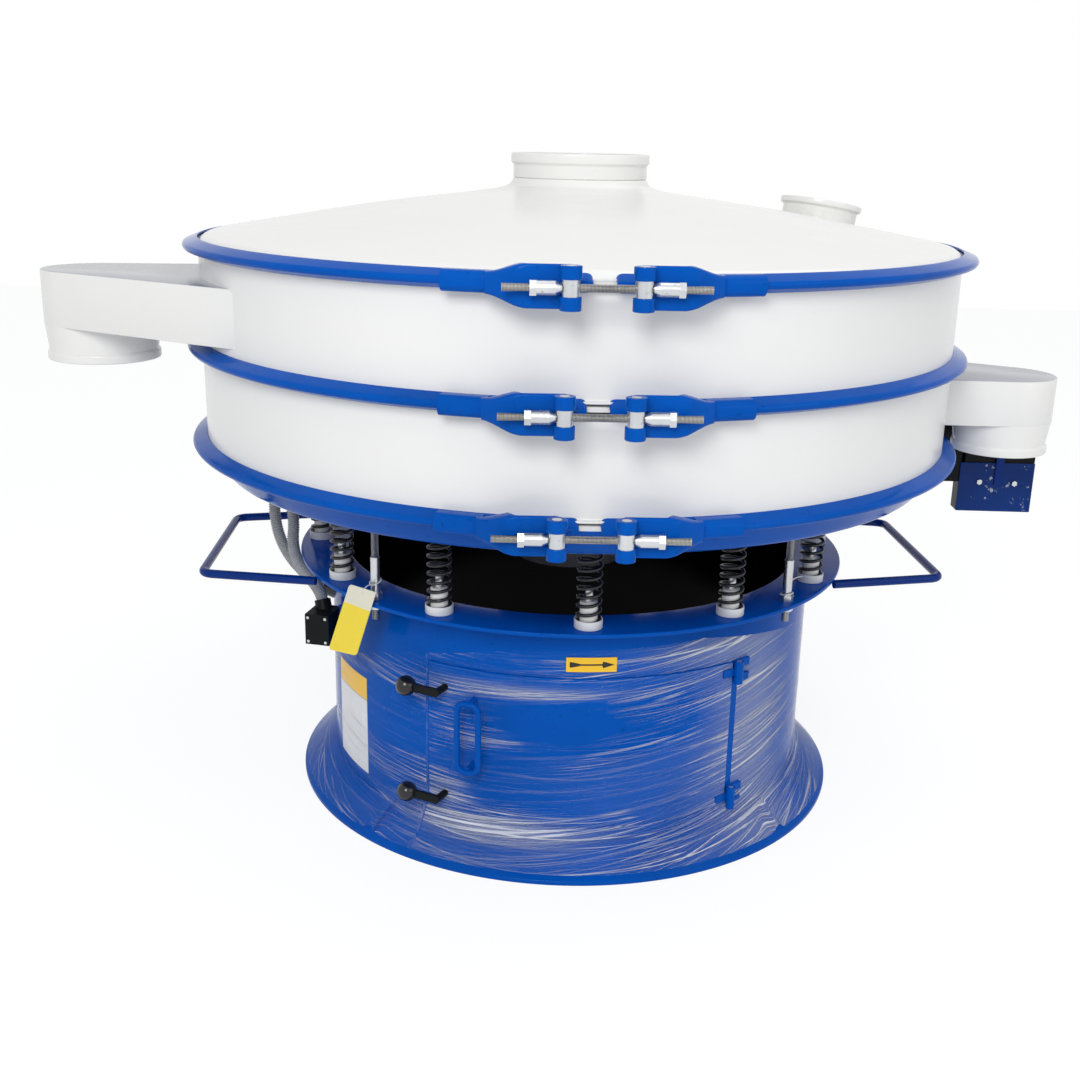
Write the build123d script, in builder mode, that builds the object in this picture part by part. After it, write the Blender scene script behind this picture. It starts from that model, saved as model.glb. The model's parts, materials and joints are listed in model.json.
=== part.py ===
from build123d import *
from math import asin, atan2, cos, degrees, pi, radians, sin, sqrt
import os

# A round vibrating sieve, in millimetres, +Z up.
# The origin is on the floor at the middle of the base, and the operator's side is -Y.
# Azimuths are counted in degrees from -Y, positive to the right. Radii are from the upright axis.

# Driving dimensions shared by the whole machine
front_turn = 4
quarter_turn = 90
sheet = 4
heavy_sheet = 8
weld_step = 5
running_gap = 0.1
loose_gap = 0.3
cut_overrun = 5

# The drums and the joints between them
drum_radius = 762
flange_reach = 15
flange_thickness = 3.5
gasket_thickness = 8
gasket_margin = 1
joint_bottom = 763
joint_pitch = 193
joint_middle = joint_bottom + joint_pitch
joint_top = joint_middle + joint_pitch
flange_radius = drum_radius + flange_reach

# The base
base_radius = 521
base_wall = 8
skirt_reach = 73
skirt_radius = base_radius + skirt_reach
skirt_height = 58
foot_width = 60
skirt_ribs = 4
rib_thickness = 10
rib_height = 12
plate_reach = 66
plate_inset = 36
plate_radius = base_radius + plate_reach
plate_bore_radius = base_radius - plate_inset
plate_top = 509
plate_underside = plate_top - heavy_sheet

# The springs and their seats
spring_count = 12
spring_circle_reach = 25
spring_circle_radius = base_radius + spring_circle_reach
spring_outer_radius = 24.25
spring_wire = 5.5
spring_turns = 10.5
spring_sides = 8
spring_end_gap = 0.6
dish_depth = 73
seat_plane = joint_bottom - dish_depth
seat_radius = 26.5
seat_floor = 4
cup_height = 17
post_radius = 14
post_height = 50
stud_radius = 8
stud_length = 22
upper_post_height = 15

# The transport stays between the base and the dish
stay_count = 4
stay_circle_reach = 41
stay_circle_radius = base_radius + stay_circle_reach
stay_radius = 7
stay_sleeve_radius = 9
stay_sleeve_length = 71
stay_tail = 34
stay_hole_gap = 2
stay_tip = 12
nut_across_flats = 24
nut_height = 12

# The two loop handles on the base
handle_tube_radius = 9
handle_length = 181
handle_reach = plate_radius + handle_length
handle_half_width = 205
handle_root_reach = base_radius + handle_tube_radius
handle_root_half_width = 250
handle_bend = 25

# The access door and what is on it
door_half_angle = 34
door_opening_half_angle = 32
door_bottom = 88
door_top = 396
door_lap = 12
door_sheet = 4
hinge_azimuth = 34.9
hinge_reach = 13
hinge_axis_radius = base_radius + hinge_reach
hinge_pin_radius = 5
hinge_barrel_radius = 9
hinge_barrel_height = 15
hinge_heights = (82, 352)
latch_azimuth = -30
latch_heights = (125, 350)
latch_stud_radius = 7
latch_arm_length = 68
latch_arm_height = 16
latch_arm_thickness = 7
latch_arm_standoff = 30
knob_radius = 20
tongue_length = 52
tongue_width = 14
tongue_thickness = 5
tongue_gap = 4
grip_azimuth = -23
grip_middle = 270
grip_height = 150
grip_width = 52
grip_rod_radius = 6
grip_standoff = 36

# The terminal box on the base and its conduit
terminal_left = -545
terminal_front = -236
terminal_width = 52
terminal_depth = 62
terminal_bottom = 337
terminal_height = 66
terminal_cover = 5
terminal_screw_radius = 3
terminal_screw_head = 2
terminal_screw_inset = 7
conduit_radius = 13
bend_share = 0.45
gland_radius = 20
gland_grip = 12
gland_gap = 0.8
neck_grip = 8
neck_wall = 4
gland_floor = 6

# The dish under the drums
dish_knee_inset = 20
dish_knee_drop = 45
dish_toe_inset = 29
dish_toe_drop = 57
dish_flat_inset = 102
dish_knee_radius = drum_radius - dish_knee_inset
dish_knee_height = joint_bottom - dish_knee_drop
dish_toe_radius = drum_radius - dish_toe_inset
dish_toe_height = joint_bottom - dish_toe_drop
dish_flat_radius = drum_radius - dish_flat_inset

# The clamp bands that close the joints
band_reach = 19
band_wall = 7
band_nose_depth = 3
band_nose = 6
band_inner_nose = 4
band_sheet = 4
band_lip_gap = 4
band_lip_height = 16
band_foot_gap = 6
band_foot_height = 15
band_radius = flange_radius + band_reach
band_inner_radius = band_radius - band_wall
band_lip_radius = drum_radius + band_lip_gap
band_foot_radius = drum_radius + band_foot_gap
band_gap = 36
sleeve_half_height = 17
sleeve_depth = 7
sleeve_corner = 8
sleeve_start = 172
sleeve_end = 248
lug_half_height = 33
lug_start = 54
lug_end = 136
lug_thickness = 9
lug_reach = 42
clamp_axis_radius = band_radius + lug_reach
clamp_azimuths = (-1.7, -1.2, -0.9)
collar_radius = 16.5
trunnion_radius = 13.5
trunnion_half_height = 12.5
trunnion_pin_radius = 8
rod_radius = 6
rod_half_length = 156
nut_corner_radius = 13
nut_body_radius = 11
nut_tip_radius = 8
nut_tip_length = 9
nut_body_length = 28
nut_hex_length = 10

# The lid, its inlet and its side port
inlet_radius = 136
inlet_height = 48
inlet_rim_height = 21
neck_bend = 16
lid_shoulder_inset = 12
lid_shoulder_rise = 15
lid_crown_inset = 320
lid_crown_rise = 54
lid_neck_root_margin = 36
lid_neck_root_rise = 36
lid_neck_rise = 24
lid_bottom = joint_top + gasket_thickness / 2
lid_shoulder_radius = drum_radius - lid_shoulder_inset
lid_shoulder_height = lid_bottom + lid_shoulder_rise
lid_crown_radius = drum_radius - lid_crown_inset
lid_crown_height = lid_shoulder_height + lid_crown_rise
lid_neck_root_radius = inlet_radius + lid_neck_root_margin
lid_neck_root_height = lid_crown_height + lid_neck_root_rise
lid_neck_height = lid_neck_root_height + lid_neck_rise
rim_reach = 5
port_azimuth = 121
port_inset = 122
port_centre_radius = drum_radius - port_inset
port_radius = 84
port_height = 45
port_rim_height = 14
port_rim_reach = 8
port_root = 14

# The screen deck and the discharge cone
deck_ring_width = 27
deck_ring_thickness = 4
deck_ring_inner_radius = drum_radius - deck_ring_width
mesh_thickness = 2
cone_rise = 97
cone_cap_radius = 160

# The discharge spouts: the upper one is on the left, the lower one on the right
upper_spout_rise = 29
upper_spout_height = 107
upper_spout_length = 205
upper_spout_azimuth = -81.3
upper_spout_mouth_azimuths = (-47.6, -90)
upper_outlet_radius = 105
upper_outlet_margin = 7
upper_outlet_length = 70
lower_spout_rise = 49
lower_spout_height = 93
lower_spout_length = 145
lower_spout_azimuth = 88.6
lower_spout_mouth_azimuths = (80.5, 106.4)
lower_outlet_radius = 93
lower_outlet_margin = 8
lower_outlet_length = 67
upper_spout_floor = joint_middle + upper_spout_rise
upper_spout_reach = drum_radius + upper_spout_length
upper_spout_end_radius = upper_outlet_radius + upper_outlet_margin
lower_spout_floor = joint_bottom + lower_spout_rise
lower_spout_reach = drum_radius + lower_spout_length
lower_spout_end_radius = lower_outlet_radius + lower_outlet_margin
mouth_depth = 24
outlet_rim_height = 18

# The control box that hangs behind the lower outlet
box_width = 165
box_height = 156
box_depth = 120
box_inset = 39
box_drop = 82
box_front = 94
box_cover_height = 112
box_cover_thickness = 4
hanger_inset = 107
hanger_width = 80
hanger_rise = 66
hanger_thickness = 8
box_left = lower_spout_reach - box_inset
box_top = lower_spout_floor - box_drop
box_bottom = box_top - box_height
hanger_left = lower_spout_reach - hanger_inset
hanger_bottom = box_bottom + hanger_rise
strap_width = 18
strap_length = 80
strap_thickness = 4
strap_rise = 30
box_screw_radius = 6
box_screw_head = 5
box_screw_share = 0.27

# The vibrating motor under the dish
motor_hole_radius = 190
motor_flange_margin = 28
motor_flange_radius = motor_hole_radius + motor_flange_margin
motor_flange_thickness = 20
motor_radius = 125
motor_fin_reach = 20
motor_fin_thickness = 8
motor_fin_count = 16
motor_drop = 150
motor_rise = 100
motor_bottom = seat_plane - motor_drop
motor_top = seat_plane + motor_rise
motor_bore_radius = 60
motor_cap_thickness = 20
bearing_radius = 45
motor_bolt_count = 8
motor_bolt_radius = 8
shaft_radius = 25
shaft_tail = 70
weight_radius = 120
weight_hub_radius = 45
weight_thickness = 30
weight_offset = 8


def outward(azimuth):
    """The level unit vector that points away from the axis at an azimuth from the machine's front."""
    turn = radians(azimuth + front_turn)
    return Vector(sin(turn), -cos(turn), 0)


def rightward(azimuth):
    """The level unit vector along a wall at an azimuth, to the right as seen from outside."""
    turn = radians(azimuth + front_turn)
    return Vector(cos(turn), sin(turn), 0)


def wall_plane(azimuth, radius, height):
    """A plane that faces outward at an azimuth, with x to the right and y up."""
    centre = outward(azimuth) * radius + Vector(0, 0, height)
    return Plane(origin=centre, x_dir=rightward(azimuth), z_dir=outward(azimuth))


def radial_plane(azimuth):
    """The upright plane through the axis at an azimuth, with x outward and y up."""
    return Plane(origin=(0, 0, 0), x_dir=outward(azimuth), z_dir=rightward(azimuth) * -1)


def plan_plane(height):
    """A level plane turned to the machine's front: x is to the right and y is away from the operator."""
    return Plane(origin=(0, 0, height), x_dir=rightward(0), z_dir=(0, 0, 1))


def place(azimuth, radius, height=0):
    """A point at an azimuth counted from -Y, as measured on the machine and not from its turned front."""
    turn = radians(azimuth)
    return Vector(radius * sin(turn), -radius * cos(turn), height)


def outline(points, plane=Plane.XZ):
    """A closed face with straight sides. On the upright planes each point is a radius and a height."""
    with BuildSketch(plane) as profile:
        with BuildLine():
            Polyline(*points, close=True)
        make_face()
    return profile.sketch


def disc(radius, plane, bore=0):
    """A round face with an optional hole in the middle."""
    with BuildSketch(plane) as profile:
        Circle(radius)
        if bore:
            Circle(bore, mode=Mode.SUBTRACT)
    return profile.sketch


def save(piece, label):
    """Labels a finished piece and writes its file."""
    piece.part.label = label
    export_step(piece.part, "parts/" + label + ".step")


os.makedirs("parts", exist_ok=True)

# The base drum is one rolled sheet with the door's opening cut in its front.
base_bore = base_radius - base_wall
door_opening = (
    (base_bore - cut_overrun, door_bottom + door_lap),
    (base_radius + cut_overrun, door_bottom + door_lap),
    (base_radius + cut_overrun, door_top - door_lap),
    (base_bore - cut_overrun, door_top - door_lap),
)
with BuildPart() as base_drum:
    extrude(disc(base_radius, Plane.XY.offset(skirt_height), base_bore), amount=plate_underside - skirt_height)
    revolve(
        outline(door_opening, radial_plane(-door_opening_half_angle)),
        axis=Axis.Z,
        revolution_arc=2 * door_opening_half_angle,
        mode=Mode.SUBTRACT,
    )
save(base_drum, "base_drum")

# The skirt is a flared sheet cone that ends in a flat foot ring.
skirt_outline = (
    (base_radius, skirt_height),
    (skirt_radius, heavy_sheet),
    (skirt_radius, 0),
    (skirt_radius - foot_width, 0),
    (skirt_radius - foot_width, heavy_sheet),
    (skirt_radius - 2 * heavy_sheet, heavy_sheet),
    (base_radius, skirt_height - heavy_sheet),
    (base_bore, skirt_height - heavy_sheet),
    (base_bore, skirt_height),
)
skirt_slope = (skirt_height - heavy_sheet) / (skirt_radius - base_radius)
rib_outline = (
    (base_radius, skirt_height),
    (base_radius, skirt_height + rib_height),
    (skirt_radius - rib_height, heavy_sheet + rib_height * (1 + skirt_slope)),
    (skirt_radius - rib_height, heavy_sheet + rib_height * skirt_slope),
)
with BuildPart() as base_skirt:
    revolve(outline(skirt_outline), axis=Axis.Z)
save(base_skirt, "base_skirt")

with BuildPart() as skirt_rib_set:
    for index in range(skirt_ribs):
        rib_azimuth = 360 / skirt_ribs * (index + 1 / 2)
        extrude(outline(rib_outline, radial_plane(rib_azimuth)), amount=rib_thickness / 2, both=True)
save(skirt_rib_set, "skirt_ribs")

# The spring plate is a flat ring on top of the base drum, drilled for the stays.
stay_azimuths = [360 / stay_count * (index + 1 / 2) for index in range(stay_count)]
with BuildPart() as spring_plate:
    extrude(disc(plate_radius, Plane.XY.offset(plate_underside), plate_bore_radius), amount=heavy_sheet)
    for azimuth in stay_azimuths:
        hole_plane = Plane(origin=outward(azimuth) * stay_circle_radius + Vector(0, 0, plate_underside))
        extrude(disc(stay_radius + running_gap, hole_plane), amount=heavy_sheet, mode=Mode.SUBTRACT)
save(spring_plate, "spring_plate")

# Each handle is one bent tube under the plate, wider at its roots than at its grip.
handle_level = plate_underside - handle_tube_radius
for label, side in (("handle_left", -1), ("handle_right", 1)):
    plan = plan_plane(handle_level)
    handle_points = [
        plan.from_local_coords((side * handle_root_reach, -handle_root_half_width, 0)),
        plan.from_local_coords((side * handle_reach, -handle_half_width, 0)),
        plan.from_local_coords((side * handle_reach, handle_half_width, 0)),
        plan.from_local_coords((side * handle_root_reach, handle_root_half_width, 0)),
    ]
    with BuildPart() as handle:
        with BuildLine():
            handle_path = FilletPolyline(*handle_points, radius=handle_bend)
        with BuildSketch(Plane(origin=handle_path @ 0, z_dir=handle_path % 0)):
            Circle(handle_tube_radius)
        sweep(path=handle_path)
    save(handle, label)

# The spring seats: a cup with a post inside each spring, a stud on the post, and a seat under the dish.
spring_azimuths = [360 / spring_count * index for index in range(spring_count)]
with BuildPart() as spring_cups:
    for azimuth in spring_azimuths:
        seat = Plane(origin=outward(azimuth) * spring_circle_radius + Vector(0, 0, plate_top))
        extrude(disc(seat_radius, seat), amount=cup_height)
        cup_floor = seat.offset(seat_floor)
        extrude(disc(spring_outer_radius + loose_gap, cup_floor), amount=cup_height, mode=Mode.SUBTRACT)
        extrude(disc(post_radius, cup_floor), amount=post_height - seat_floor)
save(spring_cups, "spring_cups")

with BuildPart() as spring_studs:
    for azimuth in spring_azimuths:
        stud = Plane(origin=outward(azimuth) * spring_circle_radius + Vector(0, 0, plate_top + post_height))
        extrude(disc(stud_radius, stud), amount=stud_length)
save(spring_studs, "spring_studs")

with BuildPart() as spring_top_seats:
    for azimuth in spring_azimuths:
        seat_middle = outward(azimuth) * spring_circle_radius + Vector(0, 0, seat_plane)
        seat = Plane(origin=seat_middle, z_dir=(0, 0, -1))
        extrude(disc(seat_radius, seat), amount=heavy_sheet)
        extrude(disc(post_radius, seat.offset(heavy_sheet)), amount=upper_post_height)
save(spring_top_seats, "spring_top_seats")

# One spring is a square bar led round a many-sided coil, and the ring of springs repeats it.
spring_bottom = plate_top + seat_floor
spring_top = seat_plane - heavy_sheet
coil_radius = spring_outer_radius - spring_wire / 2 / cos(radians(180 / spring_sides))
coil_start = spring_bottom + spring_wire / 2 + spring_end_gap
coil_rise = spring_top - spring_bottom - spring_wire - 2 * spring_end_gap
coil_steps = round(spring_turns * spring_sides)
coil_points = []
for step in range(coil_steps + 1):
    turn = radians(360 / spring_sides * step)
    lift = coil_start + coil_rise * step / coil_steps
    coil_points.append((coil_radius * cos(turn), coil_radius * sin(turn), lift))
with BuildPart() as one_spring:
    with BuildLine():
        coil = Polyline(*coil_points)
    bar_x = Vector(0, 0, 1).cross(coil % 0)
    with BuildSketch(Plane(origin=coil @ 0, x_dir=bar_x, z_dir=coil % 0)):
        Rectangle(spring_wire, spring_wire)
    sweep(path=coil, transition=Transition.RIGHT)
with BuildPart() as springs:
    with PolarLocations(spring_circle_radius, spring_count, start_angle=front_turn - quarter_turn):
        add(one_spring.part)
save(springs, "springs")

# Transport stays: a rod through the plate, with a sleeve, and a nut above and below the plate.
with BuildPart() as stay_rods:
    for azimuth in stay_azimuths:
        foot = Plane(origin=outward(azimuth) * stay_circle_radius + Vector(0, 0, plate_underside - stay_tail))
        rod_length = seat_plane + heavy_sheet + stay_tip - plate_underside + stay_tail
        extrude(disc(stay_radius, foot), amount=rod_length)
save(stay_rods, "stay_rods")

with BuildPart() as stay_sleeves:
    for azimuth in stay_azimuths:
        foot = Plane(origin=outward(azimuth) * stay_circle_radius + Vector(0, 0, plate_top + nut_height))
        extrude(disc(stay_sleeve_radius, foot, stay_radius), amount=stay_sleeve_length)
save(stay_sleeves, "stay_sleeves")

with BuildPart() as stay_nuts:
    for azimuth in stay_azimuths:
        for level in (plate_top, plate_underside - nut_height):
            with BuildSketch(Plane(origin=outward(azimuth) * stay_circle_radius + Vector(0, 0, level))):
                RegularPolygon(nut_across_flats / 2, 6, major_radius=False)
                Circle(stay_radius, mode=Mode.SUBTRACT)
            extrude(amount=nut_height)
save(stay_nuts, "stay_nuts")

# The door is a curved sheet that laps over the edges of its opening.
door_inner_radius = base_radius + loose_gap
door_outer_radius = door_inner_radius + door_sheet
door_outline = (
    (door_inner_radius, door_bottom),
    (door_outer_radius, door_bottom),
    (door_outer_radius, door_top),
    (door_inner_radius, door_top),
)
with BuildPart() as door_panel:
    door_edge = outline(door_outline, radial_plane(-door_half_angle))
    revolve(door_edge, axis=Axis.Z, revolution_arc=2 * door_half_angle)
    for latch_height in latch_heights:
        stud_plane = wall_plane(latch_azimuth, base_bore, latch_height)
        extrude(disc(latch_stud_radius + running_gap / 2, stud_plane), amount=2 * base_wall, mode=Mode.SUBTRACT)
save(door_panel, "door_panel")


def hinge_barrel(level, side, inner_radius):
    """One hinge barrel with a curved leaf: the door's leaf is on side -1 and the drum's on side 1."""
    leaf_angle = hinge_azimuth - door_half_angle + degrees(hinge_barrel_radius / hinge_axis_radius)
    leaf_outline = (
        (inner_radius, level),
        (door_outer_radius + door_sheet, level),
        (door_outer_radius + door_sheet, level + hinge_barrel_height),
        (inner_radius, level + hinge_barrel_height),
    )
    pin_plane = Plane(origin=outward(hinge_azimuth) * hinge_axis_radius + Vector(0, 0, level))
    leaf_start = hinge_azimuth if side > 0 else hinge_azimuth - 2 * leaf_angle
    with BuildPart() as barrel:
        extrude(disc(hinge_barrel_radius, pin_plane), amount=hinge_barrel_height)
        revolve(outline(leaf_outline, radial_plane(leaf_start)), axis=Axis.Z, revolution_arc=2 * leaf_angle)
        bore = disc(hinge_pin_radius + running_gap / 2, pin_plane)
        extrude(bore, amount=hinge_barrel_height, mode=Mode.SUBTRACT)
    return barrel.part


# Each hinge has a barrel on the door between two barrels on the drum, all on one pin.
hinge_pitch = hinge_barrel_height + loose_gap
with BuildPart() as door_hinge_barrels:
    for level in hinge_heights:
        add(hinge_barrel(level + hinge_pitch, -1, door_outer_radius))
save(door_hinge_barrels, "door_hinge_barrels")

with BuildPart() as drum_hinge_barrels:
    for level in hinge_heights:
        for step in (0, 2):
            add(hinge_barrel(level + step * hinge_pitch, 1, base_radius))
save(drum_hinge_barrels, "drum_hinge_barrels")

with BuildPart() as hinge_pins:
    for level in hinge_heights:
        pin_plane = Plane(origin=outward(hinge_azimuth) * hinge_axis_radius + Vector(0, 0, level))
        extrude(disc(hinge_pin_radius, pin_plane), amount=2 * hinge_pitch + hinge_barrel_height)
save(hinge_pins, "hinge_pins")

# The grip on the door is a closed loop of rod, stood off on two stubs.
grip_surface = wall_plane(grip_azimuth, door_outer_radius, grip_middle)
with BuildSketch(grip_surface.offset(grip_standoff)) as grip_loop:
    RectangleRounded(grip_width, grip_height, grip_width / 2 - weld_step)
grip_wire = grip_loop.sketch.faces()[0].outer_wire()
with BuildPart() as door_grip:
    with BuildSketch(Plane(origin=grip_wire @ 0, z_dir=grip_wire % 0)):
        Circle(grip_rod_radius)
    sweep(path=grip_wire)
    with BuildSketch(grip_surface):
        with Locations((0, -grip_height / 2), (0, grip_height / 2)):
            Circle(grip_rod_radius)
    extrude(amount=grip_standoff)
save(door_grip, "door_grip")

# A latch is a stud through the door, a lever with a ball knob outside it, and a tongue inside it.
arm_plane_radius = door_outer_radius + latch_arm_standoff
tongue_plane_radius = base_bore - tongue_gap - tongue_thickness
for latch_name, latch_height in (("lower", latch_heights[0]), ("upper", latch_heights[1])):
    with BuildPart() as latch_lever:
        inner_face = wall_plane(latch_azimuth, tongue_plane_radius, latch_height)
        stud_length = arm_plane_radius + latch_arm_thickness - tongue_plane_radius
        extrude(disc(latch_stud_radius, inner_face), amount=stud_length)
        with BuildSketch(wall_plane(latch_azimuth, arm_plane_radius, latch_height)):
            SlotCenterPoint((-latch_arm_length / 2, 0), (0, 0), latch_arm_height)
        extrude(amount=latch_arm_thickness)
        with BuildSketch(inner_face):
            with Locations((0, tongue_width / 2 - tongue_length / 2)):
                RectangleRounded(tongue_width, tongue_length, tongue_width / 2 - running_gap)
        extrude(amount=tongue_thickness)
    save(latch_lever, "latch_lever_" + latch_name)
    with BuildPart() as latch_knob:
        arm_middle = wall_plane(latch_azimuth, arm_plane_radius + latch_arm_thickness / 2, latch_height)
        with Locations(arm_middle.from_local_coords((-latch_arm_length, 0, 0))):
            Sphere(knob_radius)
        with BuildSketch(wall_plane(latch_azimuth, arm_plane_radius, latch_height)):
            SlotCenterPoint((-latch_arm_length / 2, 0), (0, 0), latch_arm_height)
        extrude(amount=latch_arm_thickness, mode=Mode.SUBTRACT)
    save(latch_knob, "latch_knob_" + latch_name)

# Two conduits hang from glands under the dish: one ends on the terminal box, one on the drum.
conduit_routes = {
    "conduit_front": [
        (-620, -36, 668),
        (-620, -36, 626),
        (-609, -42, 584),
        (-603, -52, 543),
        (-603, -74, 506),
        (-590, -103, 477),
        (-565, -133, 457),
        (-538, -161, 441),
        (-521, -184, 427),
        (-517, -190, 410),
    ],
    "conduit_rear": [
        (-648, -8, 668),
        (-648, -8, 626),
        (-654, -12, 584),
        (-652, -18, 542),
        (-641, -30, 502),
        (-618, -48, 468),
        (-588, -68, 442),
        (-556, -85, 424),
        (-525, -96, 416),
    ],
}


def bend_radii(points):
    """The radius at each corner of a route: 0.45 of its shorter run over the tangent of half the turn."""
    places = [Vector(*point) for point in points]
    radii = []
    for before, corner, after in zip(places, places[1:], places[2:]):
        half_turn = radians((corner - before).get_angle(after - corner)) / 2
        shorter = min((corner - before).length, (after - corner).length)
        radii.append(bend_share * shorter * cos(half_turn) / sin(half_turn))
    return radii


for label, points in conduit_routes.items():
    radii = bend_radii(points)
    with BuildPart() as conduit:
        with BuildLine():
            conduit_path = FilletPolyline(*points, radius=radii)
        with BuildSketch(Plane(origin=conduit_path @ 0, z_dir=conduit_path % 0)):
            Circle(conduit_radius)
        sweep(path=conduit_path)
    volume_length = conduit.part.volume / (pi * conduit_radius**2)
    print(label, "bend radii", [round(radius) for radius in radii])
    print(label, "length", round(conduit_path.length), "volume over section", round(volume_length))
    save(conduit, label)

# The terminal box stands against the drum, with its cover towards the operator.
terminal_azimuth = -16
terminal_origin = Vector(terminal_left, terminal_front, terminal_bottom)
terminal_plane = Plane(origin=terminal_origin, x_dir=rightward(terminal_azimuth), z_dir=(0, 0, 1))
front_points = conduit_routes["conduit_front"]
front_end = Vector(*front_points[-1])
neck_plane = Plane(origin=front_end, z_dir=(Vector(*front_points[-2]) - front_end).normalized())
with BuildPart() as terminal_box:
    with BuildSketch(terminal_plane):
        with Locations((terminal_width / 2, terminal_depth / 2)):
            Rectangle(terminal_width, terminal_depth)
    extrude(amount=terminal_height)
    extrude(disc(conduit_radius + neck_wall, neck_plane.offset(-2 * neck_grip)), amount=3 * neck_grip)
    extrude(disc(conduit_radius + running_gap / 2, neck_plane), amount=2 * neck_grip, mode=Mode.SUBTRACT)
    extrude(disc(base_radius + loose_gap, Plane.XY), amount=plate_underside, mode=Mode.SUBTRACT)
save(terminal_box, "terminal_box")

cover_plane = Plane(
    origin=terminal_plane.from_local_coords((terminal_width / 2, 0, terminal_height / 2)),
    x_dir=rightward(terminal_azimuth),
    z_dir=outward(terminal_azimuth),
)
screw_spread = (terminal_width - 2 * terminal_screw_inset, terminal_height - 2 * terminal_screw_inset)
with BuildPart() as terminal_box_cover:
    with BuildSketch(cover_plane):
        Rectangle(terminal_width, terminal_height)
    extrude(amount=terminal_cover)
save(terminal_box_cover, "terminal_box_cover")

with BuildPart() as terminal_screws:
    with BuildSketch(cover_plane.offset(terminal_cover)):
        with GridLocations(*screw_spread, 2, 2):
            Circle(terminal_screw_radius)
    extrude(amount=terminal_screw_head)
save(terminal_screws, "terminal_screws")

# A gland under the dish holds the top of each conduit with room to bounce.
with BuildPart() as conduit_glands:
    for points in conduit_routes.values():
        top = Plane(origin=(points[0][0], points[0][1], seat_plane), z_dir=(0, 0, -1))
        extrude(disc(gland_radius, top), amount=seat_plane - points[0][2] + gland_grip)
        gland_bore = disc(conduit_radius + gland_gap, top.offset(gland_floor))
        extrude(gland_bore, amount=seat_plane, mode=Mode.SUBTRACT)
save(conduit_glands, "conduit_glands")

# A grommet on the drum's wall meets the end of the rear conduit.
rear_points = conduit_routes["conduit_rear"]
rear_end = Vector(*rear_points[-1])
rear_run = (Vector(*rear_points[-2]) - rear_end).normalized()
with BuildPart() as conduit_grommet:
    with BuildSketch(Plane(origin=rear_end, z_dir=rear_run * -1)):
        Circle(gland_radius)
    extrude(amount=base_radius / 2)
    extrude(disc(base_radius + loose_gap, Plane.XY), amount=plate_underside, mode=Mode.SUBTRACT)
save(conduit_grommet, "conduit_grommet")

# The dish is a pressed plate: a flange, a sloping wall, a shoulder and a flat seat for springs and motor.
bottom_flange_top = joint_bottom - gasket_thickness / 2
dish_wall_radius = drum_radius + weld_step
dish_outline = (
    (flange_radius, bottom_flange_top),
    (flange_radius, bottom_flange_top - flange_thickness),
    (dish_wall_radius, bottom_flange_top - 2 * flange_thickness),
    (dish_knee_radius, dish_knee_height),
    (dish_toe_radius, dish_toe_height),
    (dish_flat_radius, seat_plane),
    (motor_hole_radius, seat_plane),
    (motor_hole_radius, seat_plane + heavy_sheet),
    (dish_flat_radius, seat_plane + heavy_sheet),
    (dish_toe_radius - heavy_sheet, dish_toe_height + heavy_sheet),
    (dish_wall_radius - 2 * heavy_sheet, bottom_flange_top),
)
with BuildPart() as dish:
    revolve(outline(dish_outline), axis=Axis.Z)
    for azimuth in stay_azimuths:
        hole_plane = Plane(origin=outward(azimuth) * stay_circle_radius + Vector(0, 0, seat_plane))
        extrude(disc(stay_radius + stay_hole_gap, hole_plane), amount=heavy_sheet, mode=Mode.SUBTRACT)
save(dish, "dish")

# Each gasket lies between two flanges.
gasket_radius = flange_radius - gasket_margin
with BuildPart() as gaskets:
    for level in (joint_bottom, joint_middle, joint_top):
        gasket_plane = Plane.XY.offset(level - gasket_thickness / 2)
        extrude(disc(gasket_radius, gasket_plane, drum_radius), amount=gasket_thickness)
save(gaskets, "gaskets")

# The screen frame and the discharge cone each hang by a rim that lies inside a gasket.
rim_radius = drum_radius - loose_gap


def spout_plan(height, azimuth, reach, end_radius, mouth_azimuths):
    """The plan of a spout: a round end and two straight sides that run to the drum."""
    mouth_radius = drum_radius - mouth_depth
    with BuildSketch(Plane.XY.offset(height)) as plan:
        with BuildLine():
            CenterArc(place(azimuth, reach), end_radius, 0, 360)
            Line(*[place(mouth_azimuth, mouth_radius) for mouth_azimuth in mouth_azimuths])
        make_hull()
    return plan.sketch


def make_drum(level, plan, height):
    """A drum with a flange at each end, from the joint at a level, and a window into its spout."""
    low = level + gasket_thickness / 2
    high = level + joint_pitch - gasket_thickness / 2
    drum_outline = (
        (drum_radius - sheet, low),
        (flange_radius, low),
        (flange_radius, low + flange_thickness),
        (drum_radius, low + flange_thickness),
        (drum_radius, high - flange_thickness),
        (flange_radius, high - flange_thickness),
        (flange_radius, high),
        (drum_radius - sheet, high),
    )
    with BuildPart() as drum:
        revolve(outline(drum_outline), axis=Axis.Z)
        extrude(offset(plan, -sheet).faces(), amount=height - 2 * sheet, mode=Mode.SUBTRACT)
    return drum


def make_spout(plan, height, azimuth, reach, outlet_radius):
    """A spout's box, open to the drum, with a round outlet in its floor."""
    floor = plan.faces()[0].center().Z
    channel = offset(plan, -sheet)
    with BuildPart() as spout:
        extrude(plan.faces(), amount=height)
        extrude(channel.moved(Location((0, 0, sheet))).faces(), amount=height - 2 * sheet, mode=Mode.SUBTRACT)
        outlet = Plane(origin=place(azimuth, reach, floor))
        extrude(disc(outlet_radius - sheet, outlet), amount=sheet, mode=Mode.SUBTRACT)
        extrude(disc(drum_radius, Plane.XY.offset(floor)), amount=height, mode=Mode.SUBTRACT)
    return spout


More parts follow.
